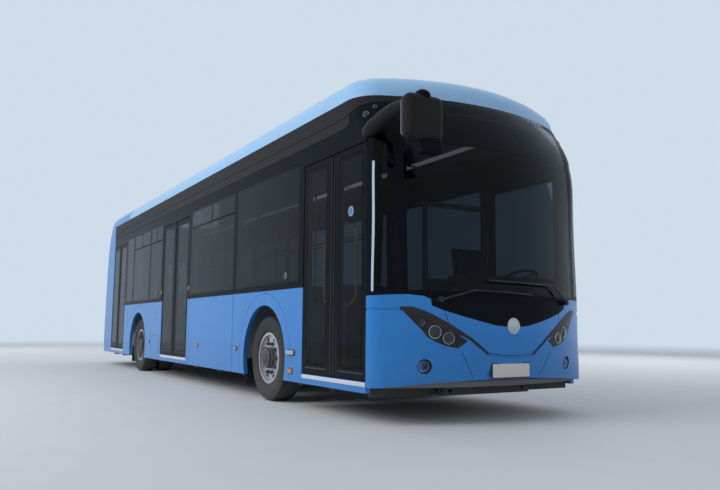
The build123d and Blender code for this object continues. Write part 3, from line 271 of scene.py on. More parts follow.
def makeWorld(s):
    world = bpy.data.worlds.new("studio")
    bpy.context.scene.world = world
    world.use_nodes = True
    tree = world.node_tree
    tree.nodes.clear()
    # the backdrop is what is seen straight, in gloss and through glass; the soft light does the rest
    pale = addNode(tree, "Background", {"Color": s["backdrop"], "Strength": 1})
    soft = addNode(tree, "Background", {"Color": s["soft"], "Strength": s["softPower"]})
    ray = addNode(tree, "LightPath").outputs
    seen = addMath(tree, "MAXIMUM", ray["Is Camera Ray"], ray["Is Glossy Ray"])
    seen = addMath(tree, "MAXIMUM", seen, ray["Is Transmission Ray"])
    mix = addNode(tree, "MixShader", {0: seen, 1: soft.outputs[0], 2: pale.outputs[0]})
    addNode(tree, "OutputWorld", {"Surface": mix.outputs[0]})


def makeFloor(s):
    mat, tree, skin, shader = newMaterial("paleFloor", s["floor"], {})
    # far from the bus the floor turns into the backdrop
    place = addNode(tree, "TexCoord").outputs["Object"]
    far = addNode(tree, "VectorMath", {0: place}, operation="LENGTH").outputs["Value"]
    fade = addNode(tree, "MapRange", {"Value": far, "From Min": s["fadeFrom"], "From Max": s["fadeTo"]},
                   interpolation_type="SMOOTHSTEP")
    haze = addNode(tree, "Emission", {"Color": s["backdrop"]})
    mix = addNode(tree, "MixShader", {0: fade.outputs["Result"], 1: shader.outputs[0], 2: haze.outputs[0]})
    feed(tree, tree.nodes["Material Output"], {"Surface": mix.outputs[0]})
    bm = bmesh.new()
    bmesh.ops.create_grid(bm, x_segments=1, y_segments=1, size=s["floorHalf"])
    mesh = bpy.data.meshes.new("studioFloor")
    bm.to_mesh(mesh)
    bm.free()
    mesh.materials.append(mat)
    addObject("studioFloor", mesh)


makeWorld(studio)
makeFloor(studio)

# ---- finishes of the CAD pieces ----
finishNodes = {
    # finish: the nodes, or what their names start with; the longest start counts
    "bodyBlue": "front_mask front_bumper skirt_panels rear_bumper rear_hatch rear_wall roof_tail_cap door_sills",
    "gapBlack": "front_frame side_wall door", "roofBlue": "roof_fairing", "ceilingPanel": "roof",
    "unitWhite": "roof_units", "screenGlass": "windshield", "windowGlass": "window_glass", "floorCover": "floor",
    "cabinPanel": "wheel_boxes driver_cab door_gear", "dashPlastic": "driver_seat dashboard", "seatShell": "seats",
    "railYellow": "handrails", "chassisBlack": "underframe tow_beam front_axle rear_axle",
    "castSteel": "drive_motor knuckle", "wheelPaint": "rim", "tyreRubber": "tyre", "sealRubber": "mud_flaps",
    "screenDark": "front_lamps tail_lamps", "satinBlack": "mirrors wipers",
}
finishOf = {start: finish for finish, starts in finishNodes.items() for start in starts.split()}
for name, piece in nodes.items():
    start = max((start for start in finishOf if name.startswith(start)), key=len)
    finish = finishes["doorGlass" if "_glass_" in name else finishOf[start]]
    for materialSlot in piece.material_slots:
        materialSlot.material = finish
    if not piece.material_slots:
        piece.data.materials.append(finish)
print("finishes given")


# ---- modelling helpers ----
def newMesh():
    bm = bmesh.new()
    bm.faces.layers.int.new("made")
    bm.verts.layers.int.new("placed")
    return bm


def settle(bm):
    # what is made from here on is moved by the next moveNew
    placed = bm.verts.layers.int["placed"]
    for vert in bm.verts:
        vert[placed] = 1


def moveNew(bm, place):
    placed = bm.verts.layers.int["placed"]
    bmesh.ops.transform(bm, matrix=place, verts=[vert for vert in bm.verts if not vert[placed]])
    settle(bm)


def dropMarks(bm):
    bm.faces.layers.int.remove(bm.faces.layers.int["made"])
    bm.verts.layers.int.remove(bm.verts.layers.int["placed"])


def freshFaces(bm):
    made = bm.faces.layers.int["made"]
    return [face for face in bm.faces if not face[made]]


def markNew(bm, material):
    made = bm.faces.layers.int["made"]
    for face in freshFaces(bm):
        face[made] = 1
        face.material_index = material


def bevelOff(bm, parts, offset, steps, affect="EDGES"):
    bmesh.ops.bevel(bm, geom=parts, offset=offset, offset_type="OFFSET", segments=steps, profile=0.5, affect=affect,
                    material=-1, clamp_overlap=True)


def pushOut(bm, faces, depth):
    # moves the faces by depth (a vector) and joins them to their old edges; gives the moved edges
    pushed = bmesh.ops.extrude_face_region(bm, geom=faces, use_keep_orig=True)["geom"]
    bmesh.ops.translate(bm, vec=depth, verts=[part for part in pushed if isinstance(part, bmesh.types.BMVert)])
    return [part for part in pushed if isinstance(part, bmesh.types.BMEdge)]


def addBox(bm, low, high, bevel, steps=2, material=0):
    verts = bmesh.ops.create_cube(bm, size=1)["verts"]
    bmesh.ops.scale(bm, vec=Vector(high) - Vector(low), verts=verts)
    bmesh.ops.translate(bm, vec=(Vector(high) + Vector(low)) / 2, verts=verts)
    bevelOff(bm, list({edge for vert in verts for edge in vert.link_edges}), bevel, steps)
    markNew(bm, material)


def addTurned(bm, profile, steps, material=0, centre=(0, 0, 0), axis=(0, 0, 1), closed=False):
    # profile: (distance from the axis, place along it)
    axis = Vector(axis).normalized()
    out = Vector((0, 0, 1)) if abs(axis.z) < 0.9 else Vector((0, 1, 0))
    out = (out - axis * out.dot(axis)).normalized()
    verts = [bm.verts.new(Vector(centre) + out * r + axis * h) for r, h in profile]
    pairs = list(zip(verts, verts[1:])) + ([(verts[-1], verts[0])] if closed else [])
    edges = [bm.edges.new(pair) for pair in pairs]
    bmesh.ops.spin(bm, geom=verts + edges, cent=centre, axis=axis, dvec=(0, 0, 0), angle=math.tau, steps=steps,
                   use_merge=True, use_duplicate=False)
    markNew(bm, material)


def addRound(bm, place, radius, steps, profiles):
    # turned forms moved to their place; profiles: material: (share of the radius, place along the axis)
    settle(bm)
    for material, profile in profiles.items():
        addTurned(bm, [(radius * share, high) for share, high in profile], steps, material)
    moveNew(bm, place)


def addSlab(bm, outline, depth, bevel=0, corner=0, material=0, steps=2):
    # a flat outline of points, pushed out by depth (a vector)
    verts = [bm.verts.new(point) for point in outline]
    face = bm.faces.new(verts)
    if corner:
        bevelOff(bm, verts, corner, 5, "VERTICES")
        face = max(freshFaces(bm), key=lambda f: f.calc_area())
    rim = pushOut(bm, [face], depth)
    if bevel:
        bevelOff(bm, rim, bevel, steps)
    markNew(bm, material)


def sideOutline(x, y0, y1, z0, z1):
    return [(x, y0, z0), (x, y1, z0), (x, y1, z1), (x, y0, z1)]


def sideSlab(bm, side, y0, y1, z0, z1, proud, bevel, corner=0, material=0, base=wallX):
    addSlab(bm, sideOutline(side * base, y0, y1, z0, z1), (side * proud, 0, 0), bevel, corner, material)


def sideFrame(bm, side, y0, y1, z0, z1, width, proud, corner, base=wallX):
    # a flat ring along the inside of its outline
    verts = [bm.verts.new(point) for point in sideOutline(side * base, y0, y1, z0, z1)]
    bm.faces.new(verts)
    bevelOff(bm, verts, corner, 6, "VERTICES")
    face = max(freshFaces(bm), key=lambda f: f.calc_area())
    bmesh.ops.inset_region(bm, faces=[face], thickness=width, use_even_offset=True)
    bmesh.ops.delete(bm, geom=[face], context="FACES")
    pushOut(bm, freshFaces(bm), (side * proud, 0, 0))
    markNew(bm, 0)


def endSlab(bm, y, x0, x1, z0, z1, proud, bevel, corner, material):
    # a slab that looks forwards (proud below 0) or back
    addSlab(bm, [(x0, y, z0), (x1, y, z0), (x1, y, z1), (x0, y, z1)], (0, proud, 0), bevel, corner, material)


def addRibbon(bm, low, high, depth):
    # a strip between two runs of points, given its thickness by depth (a vector)
    edges = []
    for run in (low, high):
        verts = [bm.verts.new(point) for point in run]
        edges += [bm.edges.new(pair) for pair in zip(verts, verts[1:])]
    bmesh.ops.bridge_loops(bm, edges=edges)
    pushOut(bm, freshFaces(bm), depth)
    markNew(bm, 0)


def addTube(bm, points, radius, closed=False, sides=2, material=0, swell=None):
    # swell: a NURBS run, with how thick it is at each of its points
    curve = bpy.data.curves.new("run", "CURVE")
    curve.dimensions = "3D"
    curve.bevel_depth = radius
    curve.bevel_resolution = sides
    curve.use_fill_caps = not closed
    spline = curve.splines.new("NURBS" if swell else "POLY")
    spline.points.add(len(points) - 1)
    for spot, point, share in zip(spline.points, points, swell or [1] * len(points)):
        spot.co = (*point, 1)
        spot.radius = share
    spline.use_cyclic_u = closed
    if swell:
        spline.order_u = 3
        spline.use_endpoint_u = True
    holder = bpy.data.objects.new("run", curve)
    mesh = bpy.data.meshes.new_from_object(holder)
    bm.from_mesh(mesh)
    bpy.data.objects.remove(holder)
    bpy.data.curves.remove(curve)
    bpy.data.meshes.remove(mesh)
    markNew(bm, material)


def joinUp(bm, merge):
    bmesh.ops.remove_doubles(bm, verts=bm.verts, dist=merge)
    bmesh.ops.recalc_face_normals(bm, faces=bm.faces)


def makePiece(name, bm, materials, body="bus_body", sharp=35, merge=0.00002):
    joinUp(bm, merge)
    dropMarks(bm)
    mesh = bpy.data.meshes.new(name)
    bm.to_mesh(mesh)
    bm.free()
    for material in materials:
        mesh.materials.append(finishes[material])
    mesh.shade_smooth()
    mesh.set_sharp_from_angle(angle=math.radians(sharp))
    piece = addObject(name, mesh)
    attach(piece, body)
    return piece


def makePair(name, materials, fill, s):
    # a piece on each side, whose form fill puts into the mesh
    for label, side in bothSides:
        bm = newMesh()
        fill(bm, side, s)
        makePiece(name + label, bm, materials)


def makeShellTree():
    bm = bmesh.new()
    skins = ("front_mask", "front_bumper", "front_frame", "front_lamps", "windshield", "window_glass", "side_wall",
             "skirt_panels", "roof_fairing", "roof_tail_cap", "rear_wall", "rear_bumper", "rear_hatch", "tail_lamps")
    for name, node in nodes.items():
        if name.startswith(skins):
            bm.from_mesh(node.data)
    tree = BVHTree.FromBMesh(bm)
    bm.free()
    return tree


shellTree = makeShellTree()


def onShell(start, ahead, lift=0):
    # where a line meets the body's skin, and the way the skin looks there
    hit, normal = shellTree.ray_cast(Vector(start), Vector(ahead).normalized())[:2]
    if hit is None:
        raise ValueError(f"no body surface ahead of {start}")
    if normal.dot(Vector(ahead)) > 0:
        normal = -normal
    return hit + normal * lift, normal


def turnTo(spot, normal):
    # a frame at the spot whose Z looks along the normal
    return Matrix.Translation(spot) @ normal.to_track_quat("Z", "Y").to_matrix().to_4x4()


def onNose(x, z, lift=0):
    return onShell((x, -outside, z), (0, 1, 0), lift)


def onSide(side, station, z, lift=0):
    return onShell((side * outside, at(station), z), (-side, 0, 0), lift)[0]


def onTail(x, z):
    return onShell((x, outside, z), (0, -1, 0))


def divided(corners, step):
    # spots along the lines from corner to corner, without the last corner
    spots = []
    for (x0, z0), (x1, z1) in zip(corners, corners[1:]):
        parts = math.ceil(math.hypot(x1 - x0, z1 - z0) / step)
        spots += [(x0 + (x1 - x0) * k / parts, z0 + (z1 - z0) * k / parts) for k in range(parts)]
    return spots


# ---- wheels ----
wheelTable = {
    # end: body, CAD node, piece, middle planes of the tyres, axle
    "Front": ("front_wheel_", "tyre_front_", "tyreFront", (1.0875,), frontAxleY),
    "Rear": ("rear_wheels_", "tyres_rear_", "tyresRear", (1.0875, 0.7755), rearAxleY),
}
tyreSettings = {
    # slots in the shoulder: depth, rim, first and last distance from the middle plane, lowest radius
    "steps": 144, "slotDeep": 0.007, "slotSide": 0.0055, "slotFrom": 0.071, "slotTo": 0.119, "slotAbove": 0.46,
    # half of the section, from the middle of the tread to the bead: (sideways, radius)
    "section": ((0, 0.48), (0.015, 0.4799), (0.017, 0.469), (0.024, 0.469), (0.026, 0.4797), (0.06, 0.4782),
                (0.062, 0.467), (0.069, 0.4668), (0.071, 0.4776), (0.088, 0.4764), (0.106, 0.4735), (0.119, 0.466),
                (0.126, 0.454), (0.1275, 0.443), (0.13, 0.44), (0.1335, 0.42), (0.1365, 0.4), (0.1375, 0.396),
                (0.1375, 0.388), (0.136, 0.384), (0.1345, 0.36), (0.131, 0.34), (0.13, 0.334), (0.131, 0.328),
                (0.128, 0.32), (0.121, 0.307), (0.112, 0.2985), (0.104, 0.2925)),
}


def makeTyres(end, label, side, s):
    body, node, name, planes, axleY = wheelTable[end]
    middles = [side * plane for plane in planes]
    half = s["section"]
    profile = [(r, -w) for w, r in reversed(half)] + [(r, w) for w, r in half[1:]]
    bm = newMesh()
    for middle in middles:
        addTurned(bm, profile, s["steps"], 0, (middle, axleY, axleZ), (1, 0, 0), True)
    joinUp(bm, 0.00002)
    slots = []
    for face in bm.faces:
        spot = face.calc_center_median()
        aside = min(abs(spot.x - middle) for middle in middles)
        turn = math.atan2(spot.y - axleY, spot.z - axleZ) / math.tau * s["steps"]
        high = math.hypot(spot.y - axleY, spot.z - axleZ)
        if s["slotFrom"] < aside < s["slotTo"] and high > s["slotAbove"] and round(turn + 0.5) % 2 == 0:
            slots.append(face)
    bmesh.ops.inset_individual(bm, faces=slots, thickness=s["slotSide"], depth=-s["slotDeep"], use_even_offset=True)
    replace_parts(makePiece(name + label, bm, ["tyreRubber"], body + label.lower(), sharp=28), node + label.lower())


wheelFittings = {
    # how far out the dish's face and the hub's face stand
    "Front": (1.165, 1.243), "Rear": (0.9395, 1.2),
    "nuts": 10, "ring": 0.1675, "bolts": 8, "boltRing": 0.089, "hubFoot": 0.121, "valveR": 0.004,
    # profiles: (distance from the middle, how far out)
    "plate": ((0.128, 0), (0.128, 0.007), (0.132, 0.009), (0.195, 0.009), (0.203, 0.006), (0.205, 0)),
    "washer": ((0.0245, 0.009), (0.0245, 0.012), (0.021, 0.0145), (0, 0.0145)),
    "nut": ((0.0185, 0.013), (0.0185, 0.0355), (0.0155, 0.0385), (0.0105, 0.0385), (0.0105, 0.0475), (0, 0.0495)),
    "hub": ((0.119, -0.04), (0.107, -0.028), (0.107, -0.004), (0.101, 0.001), (0.076, 0.001), (0.072, 0.005),
            (0.062, 0.006), (0.058, 0.014), (0.03, 0.018), (0, 0.019)),
    "bolt": ((0.0095, 0.0005), (0.0095, 0.006), (0.0075, 0.008), (0, 0.008)),
    # from the middle of the dish's face
    "valve": ((0.01, 0.0717, 0.2238), (0.03, 0.0757, 0.2358), (0.048, 0.0797, 0.2378)),
}


def ringSpots(centre, radius, count, shift=0):
    turns = [math.tau * (k + shift) / count for k in range(count)]
    return [Vector(centre) + Vector((0, math.sin(turn), math.cos(turn))) * radius for turn in turns]


def makeWheelFittings(end, label, side, s):
    body, axleY = wheelTable[end][0], wheelTable[end][-1]
    face, hub = ((side * x, axleY, axleZ) for x in s[end])
    out = (side, 0, 0)
    bm = newMesh()
    addTurned(bm, s["plate"], 64, 0, face, out)
    for spot in ringSpots(face, s["ring"], s["nuts"], 0.5):
        addTurned(bm, s["washer"], 20, 1, spot, out)
        addTurned(bm, s["nut"], 6, 1, spot, out)
    addTurned(bm, [(s["hubFoot"], s[end][0] - s[end][1]), *s["hub"]], 48, 1, hub, out)
    for spot in ringSpots(hub, s["boltRing"], s["bolts"]):
        addTurned(bm, s["bolt"], 6, 2, spot, out)
    addTube(bm, [Vector(face) + Vector((side * x, y, z)) for x, y, z in s["valve"]], s["valveR"], material=1)
    makePiece("wheelNuts" + end + label, bm, ["wheelPaint", "castSteel", "brightSteel"], body + label.lower())


for make, settings in ((makeTyres, tyreSettings), (makeWheelFittings, wheelFittings)):
    for end in wheelTable:
        for label, side in bothSides:
            make(end, label, side, settings)
print("wheels made")

# ---- lamps on the nose ----
headLamps = {
    # x, z, radius of the bezel
    "spots": ((0.892, 0.882, 0.027), (0.781, 0.801, 0.058), (0.662, 0.748, 0.054)),
    "lift": 0.002, "proud": 0.006, "deep": 0.016,
}


def addLamp(bm, place, radius, proud, deep):
    # 0 bright bezel, 2 dark bowl, 1 domed glass
    addRound(bm, place, radius, 40, {
        0: ((0.8, -deep), (0.84, -0.002), (0.9, proud * 0.8), (0.96, proud), (1, proud * 0.6), (1.02, -0.004)),
        2: ((0.8, -deep), (0.55, -deep * 0.95), (0.5, -deep * 0.5), (0.42, -deep * 0.35), (0, -deep * 0.3)),
        1: ((0.86, proud * 0.2), (0.62, proud * 1.1), (0.34, proud * 1.6), (0, proud * 1.8))})


def fillHeadLamps(bm, side, s):
    for x, z, radius in s["spots"]:
        addLamp(bm, turnTo(*onNose(x * side, z, s["lift"])), radius, s["proud"], s["deep"])


makePair("headLamps", ["brightSteel", "lampGlass", "wheelPaint"], fillHeadLamps, headLamps)

fogLamps = {"x": 0.857, "z": 0.505, "reach": 0.075, "radius": 0.046, "sunk": 0.018, "proud": 0.006, "deep": 0.014,
            "rim": ((0.066, -0.004), (0.065, 0.0025), (0.059, 0.001), (0.054, -0.018))}


def fillFogLamp(bm, side, s):
    # it looks the way the skin does on average at its two sides
    near, nearNormal = onNose((s["x"] - s["reach"]) * side, s["z"])
    far, farNormal = onNose((s["x"] + s["reach"]) * side, s["z"])
    place = turnTo((near + far) / 2, (nearNormal + farNormal).normalized())
    addRound(bm, place, 1, 40, {2: s["rim"]})
    addLamp(bm, place @ Matrix.Translation((0, 0, -s["sunk"])), s["radius"], s["proud"], s["deep"])


makePair("fogLamp", ["brightSteel", "lampGlass", "satinBlack"], fillFogLamp, fogLamps)
print("lamps made")

# ---- lines, plates and boss ----
noseLines = {
    "radius": 0.0032, "sink": -0.0012, "step": 0.03,
    # corners (x, z) of the lines on each side and of the one in the middle
    "pair": (((0.7, 1.009), (0.657, 0.862)), ((0.537, 0.628), (0.46, 0.5), (0.4, 0.405))),
    "middle": ((-0.267, 0.614), (-0.135, 0.599), (0, 0.594), (0.135, 0.599), (0.309, 0.614)),
}


def makeNoseLines(s):
    bm = newMesh()
    for run in [[(side * x, z) for x, z in run] for side in (-1, 1) for run in s["pair"]] + [s["middle"]]:
        spots = divided(run, s["step"]) + [run[-1]]
        addTube(bm, [onNose(x, z, s["sink"])[0] for x, z in spots], s["radius"], sides=1)
    makePiece("noseSeams", bm, ["sealRubber"])


makeNoseLines(noseLines)

plateSettings = {
    # height and how far off the skin the plate stands
    "Front": (0.46, 0.012), "Rear": (0.335, 0.022),
    "half": 0.22, "high": 0.06, "rim": 0.008, "back": 0.012, "thick": 0.004,
    "bolt": ((0.006, 0), (0.006, 0.002), (0.004, 0.0032), (0, 0.0032)),
}


def makePlates(s):
    w, h = s["half"], s["high"]
    wide, high = w + s["rim"], h + s["rim"]
    for label, side in (("Front", -1), ("Rear", 1)):
        bm = newMesh()
        z, off = s[label]
        y = onShell((0, side * outside, z), (0, -side, 0))[0].y + side * off
        back = side * s["back"]
        endSlab(bm, y - back, -wide, wide, z - high, z + high, back, 0.002, 0.008, 1)
        endSlab(bm, y, -w, w, z - h, z + h, side * s["thick"], 0.001, 0.006, 0)
        for x in (-0.7 * w, 0.7 * w):
            addTurned(bm, s["bolt"], 12, 2, (x, y + side * s["thick"], z + 0.6 * h), (0, side, 0))
        makePiece("plate" + label, bm, ["plateWhite", "sealRubber", "brightSteel"])


makePlates(plateSettings)

bossSettings = {"z": 0.858, "steps": 56, "profile": ((0.074, -0.004), (0.074, 0.004), (0.07, 0.008), (0.06, 0.009),
                                                     (0.056, 0.006), (0.044, 0.009), (0.022, 0.013), (0, 0.014))}


def makeBoss(s):
    bm = newMesh()
    addRound(bm, turnTo(*onNose(0, s["z"])), 1, s["steps"], {0: s["profile"]})
    makePiece("noseBoss", bm, ["wheelPaint"])


makeBoss(bossSettings)
print("nose dressed")

# ---- side trim ----
bandSettings = {
    "proud": 0.003, "top": 2.974, "lift": 0.0012, "gap": 0.004, "step": 0.04,
    # station and height along the two lines; towards the front they climb to the corner of the roof
    "line": ((-2.32, 2.917), (-2.2, 2.895), (-2.1, 2.87), (-2, 2.845), (-1.9, 2.825), (-1.8, 2.816), (-1.6, 2.812),
             (8.33, 2.812)),
    "low": ((-1.95, 2.74), (-1.9, 2.722), (-1.8, 2.71), (-1.6, 2.705), (8.33, 2.705)),
}
straightFrom = -1.6  # station at which the sides stop curving


def heightOn(line, station):
    for (s0, z0), (s1, z1) in zip(line, line[1:]):
        if station <= s1:
            return z0 + (z1 - z0) * max(0, station - s0) / (s1 - s0)
    return line[-1][1]


def denser(line, step):
    # extra points where the side curves into the nose
    first = line[0][0]
    extra = [first + step * k for k in range(math.ceil((straightFrom - first) / step))]
    return [(station, heightOn(line, station)) for station in [*extra, straightFrom, line[-1][0]]]


def fillBands(bm, side, s):
    upper = [(station, z + s["gap"], s["top"]) for station, z in denser(s["line"], s["step"])]
    lower = [(station, z, heightOn(s["line"], station) - s["gap"]) for station, z in denser(s["low"], s["step"])]
    for band in (upper, lower):
        addRibbon(bm, [onSide(side, station, z0, s["lift"]) for station, z0, z1 in band],
                  [onSide(side, station, z1, s["lift"]) for station, z0, z1 in band], (side * s["proud"], 0, 0))


makePair("cantBands", ["bandBlack"], fillBands, bandSettings)

paneSettings = {
    "sill": 1.3, "head": 2.56, "seal": 0.009, "proud": 0.0022, "corner": 0.045,
    # some panes have a vent: its bars, their edges and the panes
    "ventLow": 2.29, "ventBar": 0.024, "ventPost": 0.01, "bevel": 0.0008, "vented": (1, 2, 3),
    # first and last station of the panes on each side
    -1: ((-0.905, 0.915), (1.02, 2.83), (4.48, 5.2), (5.29, 6.45), (6.54, 7.04)),
    1: ((-0.905, 0.915), (1.02, 2.83), (2.935, 4.745), (4.85, 6.45), (6.555, 8.2)),
}


def fillPanes(bm, side, s):
    for k, (first, last) in enumerate(s[side]):
        y0, y1 = at(first), at(last)
        sideFrame(bm, side, y0, y1, s["sill"], s["head"], s["seal"], s["proud"], s["corner"])
        if k in s["vented"]:
            middle, ventTop = (y0 + y1) / 2, s["ventLow"] + s["ventBar"]
            sideSlab(bm, side, y0 + s["seal"], y1 - s["seal"], s["ventLow"], ventTop, s["proud"], s["bevel"])
            sideSlab(bm, side, middle - s["ventPost"], middle + s["ventPost"], ventTop, s["head"] - s["seal"],
                     s["proud"], s["bevel"])


makePair("windowSeals", ["sealRubber"], fillPanes, paneSettings)

sideFittings = {
    # stations, then slabs: half length, low, high, how proud, bevel, corner, material
    "markers": ((0.87, 2.4, 5.13), ((0.058, 0.536, 0.588, 0.004, 0.002, 0.01, 1),
                                    (0.048, 0.544, 0.58, 0.011, 0.004, 0.008, 0))),
    "turnSignal": ((-0.745,), ((0.105, 0.532, 0.6, 0.005, 0.002, 0.03, 1),
                               (0.092, 0.54, 0.592, 0.022, 0.01, 0.024, 2))),
    "reflector": ((-0.745,), ((0.052, 0.34, 0.406, 0.004, 0.002, 0.006, 1),
                              (0.045, 0.347, 0.399, 0.008, 0.002, 0.006, 0))),
}


def fillSideFittings(bm, side, s):
    for stations, slabs in s.values():
        for station in stations:
            for half, *slab in slabs:
                sideSlab(bm, side, at(station) - half, at(station) + half, *slab)


makePair("sideMarkers", ["lensAmber", "satinBlack", "clearLens"], fillSideFittings, sideFittings)

seamSettings = {
    "radius": 0.0026, "sunk": 0.0012,
    # station and height of the start and of the end
    -1: ((1.01, 0.27, 1.01, 1.238), (2.84, 0.27, 2.84, 1.238), (4.467, 0.668, 4.992, 0.668),
         (4.467, 0.668, 4.467, 0.27), (4.992, 0.668, 4.992, 0.27), (6.86, 0.8, 6.86, 1.238)),
    1: ((1.01, 0.27, 1.01, 1.238), (2.84, 0.27, 2.84, 1.238), (4.6, 0.27, 4.6, 1.238), (1.01, 0.86, 4.6, 0.86),
        (7.2, 0.27, 7.2, 1.238), (8.1, 0.27, 8.1, 1.238), (7.2, 0.95, 8.1, 0.95)),
}


def fillSeams(bm, side, s):
    x = side * (wallX - s["sunk"])
    for s0, z0, s1, z1 in s[side]:
        addTube(bm, [(x, at(s0), z0), (x, at(s1), z1)], s["radius"], sides=1)


makePair("skirtSeams", ["sealRubber"], fillSeams, seamSettings)

lockSettings = {
    "lock": ((0.017, 0), (0.017, 0.0025), (0.013, 0.004), (0.006, 0.004), (0.005, 0.002), (0, 0.002)),
    "ring": ((0.036, 0), (0.036, 0.004), (0.03, 0.007), (0.028, 0.007)),
    "knob": ((0.0285, 0.005), (0.024, 0.012), (0.012, 0.015), (0, 0.0155)),
    # station and height of the locks and of the door buttons
    1: (((1.25, 0.9), (2.6, 0.9), (4.35, 0.9), (7.3, 0.99), (8, 0.99)), ()),
    -1: (((4.722, 1.071), (4.674, 0.347)), ((4.728, 1.399), (4.42, 1.397), (2.89, 1.4), (-0.581, 1.387))),
}


def fillLocks(bm, side, s):
    locks, buttons = s[side]
    for spots, form, steps, material in ((locks, "lock", 24, 0), (buttons, "ring", 32, 0), (buttons, "knob", 32, 1)):
        for station, z in spots:
            addTurned(bm, s[form], steps, material, (side * wallX, at(station), z), (side, 0, 0))


makePair("sideLocks", ["brightSteel", "knobRed"], fillLocks, lockSettings)
print("sides dressed")

# ---- doors ----
doorTable = {"front": (-2.27, -1.01), "middle": (2.935, 4.37), "rear": (7.15, 8.33)}
sillSettings = {"short": 0.006, "low": 0.322, "high": 0.36, "proud": 0.003, "bevel": 0.0012, "corner": 0.004}


def makeSills(s):
    # pale kick strip along the top of the step edge
    bm = newMesh()
    for first, last in doorTable.values():
        sideSlab(bm, -1, at(first) + s["short"], at(last) - s["short"], s["low"], s["high"], s["proud"], s["bevel"],
                 s["corner"])
    makePiece("sillStrips", bm, ["sillWhite"])


makeSills(sillSettings)


def makeLeafPieces(name, materials, fill, s):
    # a piece for each door leaf; sign is 1 on leaf a, the one nearer to the front
    for door, (first, last) in doorTable.items():
        for leaf, edge, sign in (("a", first, 1), ("b", last, -1)):
            bm = newMesh()
            fill(bm, edge, (first + last) / 2, sign, s)
            makePiece(f"door{door.title()}{name}{leaf.upper()}", bm, materials, f"door_{door}_{leaf}")


leafSettings = {
    "face": 1.27, "outer": 0.071, "inner": 0.112, "gap": 0.018,
    # low and high edge, or width, then how proud and bevel or corner
    "rubber": (0.38, 2.495, 0.0035, 0.0015), "rubberWide": 0.03, "kickLine": (0.428, 0.436, 0.003, 0.001),
    "glassSeal": (0.463, 2.441, 0.008, 0.0028, 0.03),
}


def fillLeafTrim(bm, edge, middle, sign, s):
    face = s["face"]
    near = middle - sign * s["gap"] / 2
    y0, y1 = at(edge + sign * s["outer"]), at(near - sign * s["inner"])
    sideSlab(bm, -1, at(near), at(near - sign * s["rubberWide"]), *s["rubber"], base=face)
    sideFrame(bm, -1, y0, y1, *s["glassSeal"], base=face)
    sideSlab(bm, -1, y0, y1, *s["kickLine"], material=1, base=face)


makeLeafPieces("Trim", ["sealRubber", "castSteel"], fillLeafTrim, leafSettings)

poleSettings = {
    "low": 0.99, "high": 1.85, "x": -1.186, "face": -1.232, "radius": 0.013, "lean": 0.11, "stile": 0.062, "bar": 0.31,
    "foot": ((0.03, 0), (0.03, 0.004), (0.024, 0.008), (0, 0.008)),
}


def fillPole(bm, edge, middle, sign, s):
    # a pull bar inside the leaf, fixed to the stile beside the middle gap
    stile, bar = at(middle - sign * s["stile"]), at(middle - sign * s["bar"])
    x, face, low, high = s["x"], s["face"], s["low"], s["high"]
    addTube(bm, [(face, stile, low), (x, stile, low), (x, bar, low + s["lean"]), (x, bar, high - s["lean"]),
                 (x, stile, high), (face, stile, high)], s["radius"], sides=4)
    for z in (low, high):
        addTurned(bm, s["foot"], 24, 1, (face, stile, z), (1, 0, 0))


makeLeafPieces("Pole", ["railYellow", "castSteel"], fillPole, poleSettings)

discSettings = {"spot": (-1.27, at(-1.983), 1.904), "rim": ((0.046, 0), (0.046, 0.0012), (0.04, 0.0014)),
                "face": ((0.04, 0.0012), (0, 0.0014))}


def makeBlankDisc(s):
    # a plain round sticker on the glass of the front door
    bm = newMesh()
    for part, material in (("rim", 1), ("face", 0)):
        addTurned(bm, s[part], 40, material, s["spot"], (-1, 0, 0))
    makePiece("doorDisc", bm, ["signBlue", "sillWhite"], "door_front_a")


makeBlankDisc(discSettings)
print("doors dressed")


# ---- roof edge, painted groove shadow and mirror ----
def makeSmoothCopy(node, name, finish):
    bm = newMesh()
    bm.from_mesh(nodes[node].data)
    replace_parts(makePiece(name, bm, [finish], merge=0.0001), node)


makeSmoothCopy("roof_fairing", "roofFairing", "roofBlue")
makeSmoothCopy("roof_tail_cap", "roofTailCap", "bodyBlue")

grooveShadowSettings = {
    # sideways, height of the groove, how far the painted shadow of the groove reaches below it
    "line": ((0.27, 0.608, 0), (0.34, 0.659, 0.001), (0.4, 0.703, 0.003), (0.457, 0.745, 0.006), (0.52, 0.783, 0.014),
             (0.56, 0.807, 0.026), (0.6, 0.831, 0.04), (0.648, 0.86, 0.046), (0.74, 0.91, 0.045),
             (0.821, 0.953, 0.042), (0.88, 0.978, 0.038), (0.93, 0.994, 0.034), (0.967, 1.008, 0.032),
             (1.02, 1.007, 0.026), (1.06, 1.006, 0.004)),
    "above": 0.012, "below": 0.01, "lift": 0.0015, "thick": 0.003,
}


# a satin black ribbon on the nose along the groove over the head lamps: painted shadow of the groove
def fillGrooveShadow(bm, side, s):
    addRibbon(bm, [onNose(side * x, z - s["below"] - drop, s["lift"])[0] for x, z, drop in s["line"]],
              [onNose(side * x, z + s["above"], s["lift"])[0] for x, z, drop in s["line"]], (0, -s["thick"], 0))


# the satin black ribbons stand for the shade in the groove: painted shadow
makePair("paintedGrooveShadow", ["satinBlack"], fillGrooveShadow, grooveShadowSettings)

